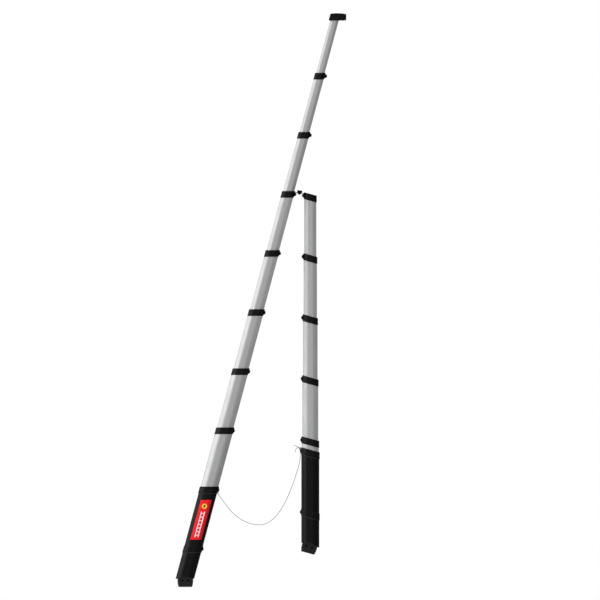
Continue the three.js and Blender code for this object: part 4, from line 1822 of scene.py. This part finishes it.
@dataclass(frozen=True)
class Studio:
    """The camera, the floor and the soft light.

    Args:
        margin: the picture's height as a share of the ladder's.
        aside: how far to the ladder's rear the picture's middle is, in metres.
        key: the power of the light on what is matt, in watts.
        side: the power of the light on the climber's side, in watts.
        fill: the sky's strength.
        dim: the sky's level away from its glows.
        glows: axis, way along it, tightness and brightness of each glow.
    """

    margin: float = 1.04556
    aside: float = 0.1914
    key: float = 186.0
    side: float = 5.0
    fill: float = 1.0
    dim: float = 0.225
    glows: tuple[tuple[int, float, float, float], ...] = (
        (0, -1.0, 9.0, 1.25), (0, 1.0, 1.0, -0.07), (1, -1.0, 3.0, 0.14), (2, 1.0, 1.5, 0.6),
        (2, -1.0, 1.0, 0.12),
    )

    def camera(self) -> None:
        """A level view, square to the ladder's right side."""
        low, high = CAD_BOX
        data = bpy.data.cameras.new("camera")
        data.type, data.ortho_scale = "ORTHO", (high.z - low.z) * self.margin
        data.clip_start, data.clip_end = 0.1, 60.0
        camera = bpy.data.objects.new("camera", data)
        camera.location = ((low.x + high.x) / 2 + self.aside, low.y - 6.0, (low.z + high.z) / 2 + 0.0004)
        camera.rotation_euler = (math.pi / 2, 0, 0)
        bpy.context.scene.collection.objects.link(camera)
        bpy.context.scene.camera = camera

    def floor(self) -> None:
        """A plain pale floor."""
        mesh = bpy.data.meshes.new("floor")
        mesh.from_pydata([(-14, -14, 0), (14, -14, 0), (14, 14, 0), (-14, 14, 0)], [], [(0, 1, 2, 3)])
        shader = Shader("floor", {"Base Color": grey(0.62), "Roughness": 0.9, "Specular IOR Level": 0.1})
        mesh.materials.append(shader.material)
        floor = bpy.data.objects.new("floor", mesh)
        floor.visible_glossy = False
        bpy.context.scene.collection.objects.link(floor)

    def area(
        self, name: str, place: Sequence[float], aim: Sequence[float], size: tuple[float, float],
        power: float,
        mirrored: bool,
    ) -> None:
        """Adds a rectangular soft light.

        Args:
            name: its name.
            place: where it stands.
            aim: what it points at.
            size: its width and height.
            power: its power, in watts.
            mirrored: whether what is shiny mirrors it.
        """
        data = bpy.data.lights.new(name, "AREA")
        data.shape, data.size, data.size_y, data.energy = "RECTANGLE", *size, power
        light = bpy.data.objects.new(name, data)
        light.visible_glossy = mirrored
        light.location = place
        light.rotation_euler = (Vector(aim) - Vector(place)).to_track_quat("-Z", "Y").to_euler()
        bpy.context.scene.collection.objects.link(light)

    @staticmethod
    def glow(
        tree: bpy.types.NodeTree, level: Socket, way: Socket, sign: float, power: float,
        strength: float,
    ) -> Socket:
        """Adds a glow about one direction to the sky's level.

        Args:
            tree: the world's tree.
            level: the level so far.
            way: how far a ray goes along an axis.
            sign: which way along the axis the glow lies.
            power: how tight it is.
            strength: how bright its middle is.
        """
        facing = add_node(
            tree, "ShaderNodeMath", {0: way, 1: sign}, {"operation": "MULTIPLY", "use_clamp": True}
        ).outputs[0]
        tight = add_node(tree, "ShaderNodeMath", {0: facing, 1: power}, {"operation": "POWER"}).outputs[0]
        return add_node(
            tree, "ShaderNodeMath", {0: tight, 1: strength, 2: level}, {"operation": "MULTIPLY_ADD"}
        ).outputs[0]

    def sky(self) -> None:
        """A plain white backdrop, and a soft gradient for what lights and mirrors in the ladder."""
        world = bpy.data.worlds.new("studio")
        bpy.context.scene.world = world
        world.use_nodes = True
        tree = world.node_tree
        tree.nodes.clear()
        way = add_node(
            tree, "ShaderNodeSeparateXYZ", {0: tree.nodes.new("ShaderNodeTexCoord").outputs["Generated"]}, {}
        ).outputs
        level = tree.nodes.new("ShaderNodeValue").outputs[0]
        level.default_value = self.dim
        for axis, sign, power, strength in self.glows:
            level = self.glow(tree, level, way[axis], sign, power, strength)
        soft = add_node(tree, "ShaderNodeBackground", {"Color": level, "Strength": self.fill}, {}).outputs[0]
        white = add_node(tree, "ShaderNodeBackground", {"Color": grey(1.0), "Strength": 1.0}, {}).outputs[0]
        seen = tree.nodes.new("ShaderNodeLightPath").outputs["Is Camera Ray"]
        both = add_node(tree, "ShaderNodeMixShader", {0: seen, 1: soft, 2: white}, {}).outputs[0]
        add_node(tree, "ShaderNodeOutputWorld", {"Surface": both}, {})

    def light(self) -> None:
        """Lights the ladder from the climber's side."""
        self.sky()
        low, high = CAD_BOX
        self.area("key", (low.x - 2.3, low.y - 3.1, 1.6), (0, 0, 1.2), (2.4, 2.4), self.key, False)
        self.area("side", (low.x - 2.2, low.y - 0.2, 1.6), (0, low.y, 1.2), (2.2, 2.3), self.side, True)
        view = bpy.context.scene.view_settings
        view.view_transform, view.look, view.exposure, view.gamma = "Standard", "None", 0.0, 1.0


# ---------------------------------------------------------------- the whole


@dataclass(frozen=True)
class Ladder:
    """The whole ladder."""

    legs: tuple[Leg, ...] = (FRONT, REAR)

    def leg(self, leg: Leg) -> Iterator[SubAssembly]:
        """A leg's sub-assemblies."""
        for rung in range(1, len(leg.rungs) + 1):
            tread = Tread(leg, rung)
            yield tread
            if not tread.is_top:
                yield from (Collar(leg, rung, side) for side in Side)
        for side in Side:
            yield from (StileTube(leg, section, side) for section in range(leg.sections + 1))
            yield from (Shoe(leg, side), ReleaseButton(leg, side))

    def build(self) -> None:
        """Builds every sub-assembly."""
        for leg in self.legs:
            for part in self.leg(leg):
                part.build()
        for part in (Hinge(), Label(), *(WallCap(side) for side in Side)):
            part.build()


def main() -> None:
    """Builds the scene."""
    logging.basicConfig(level=logging.INFO, format="%(name)s: %(message)s")
    studio = Studio()
    studio.camera()
    for side in Side:
        RestraintCord(side).build()
    Ladder().build()
    studio.floor()
    studio.light()


if __name__ == "__main__":
    main()
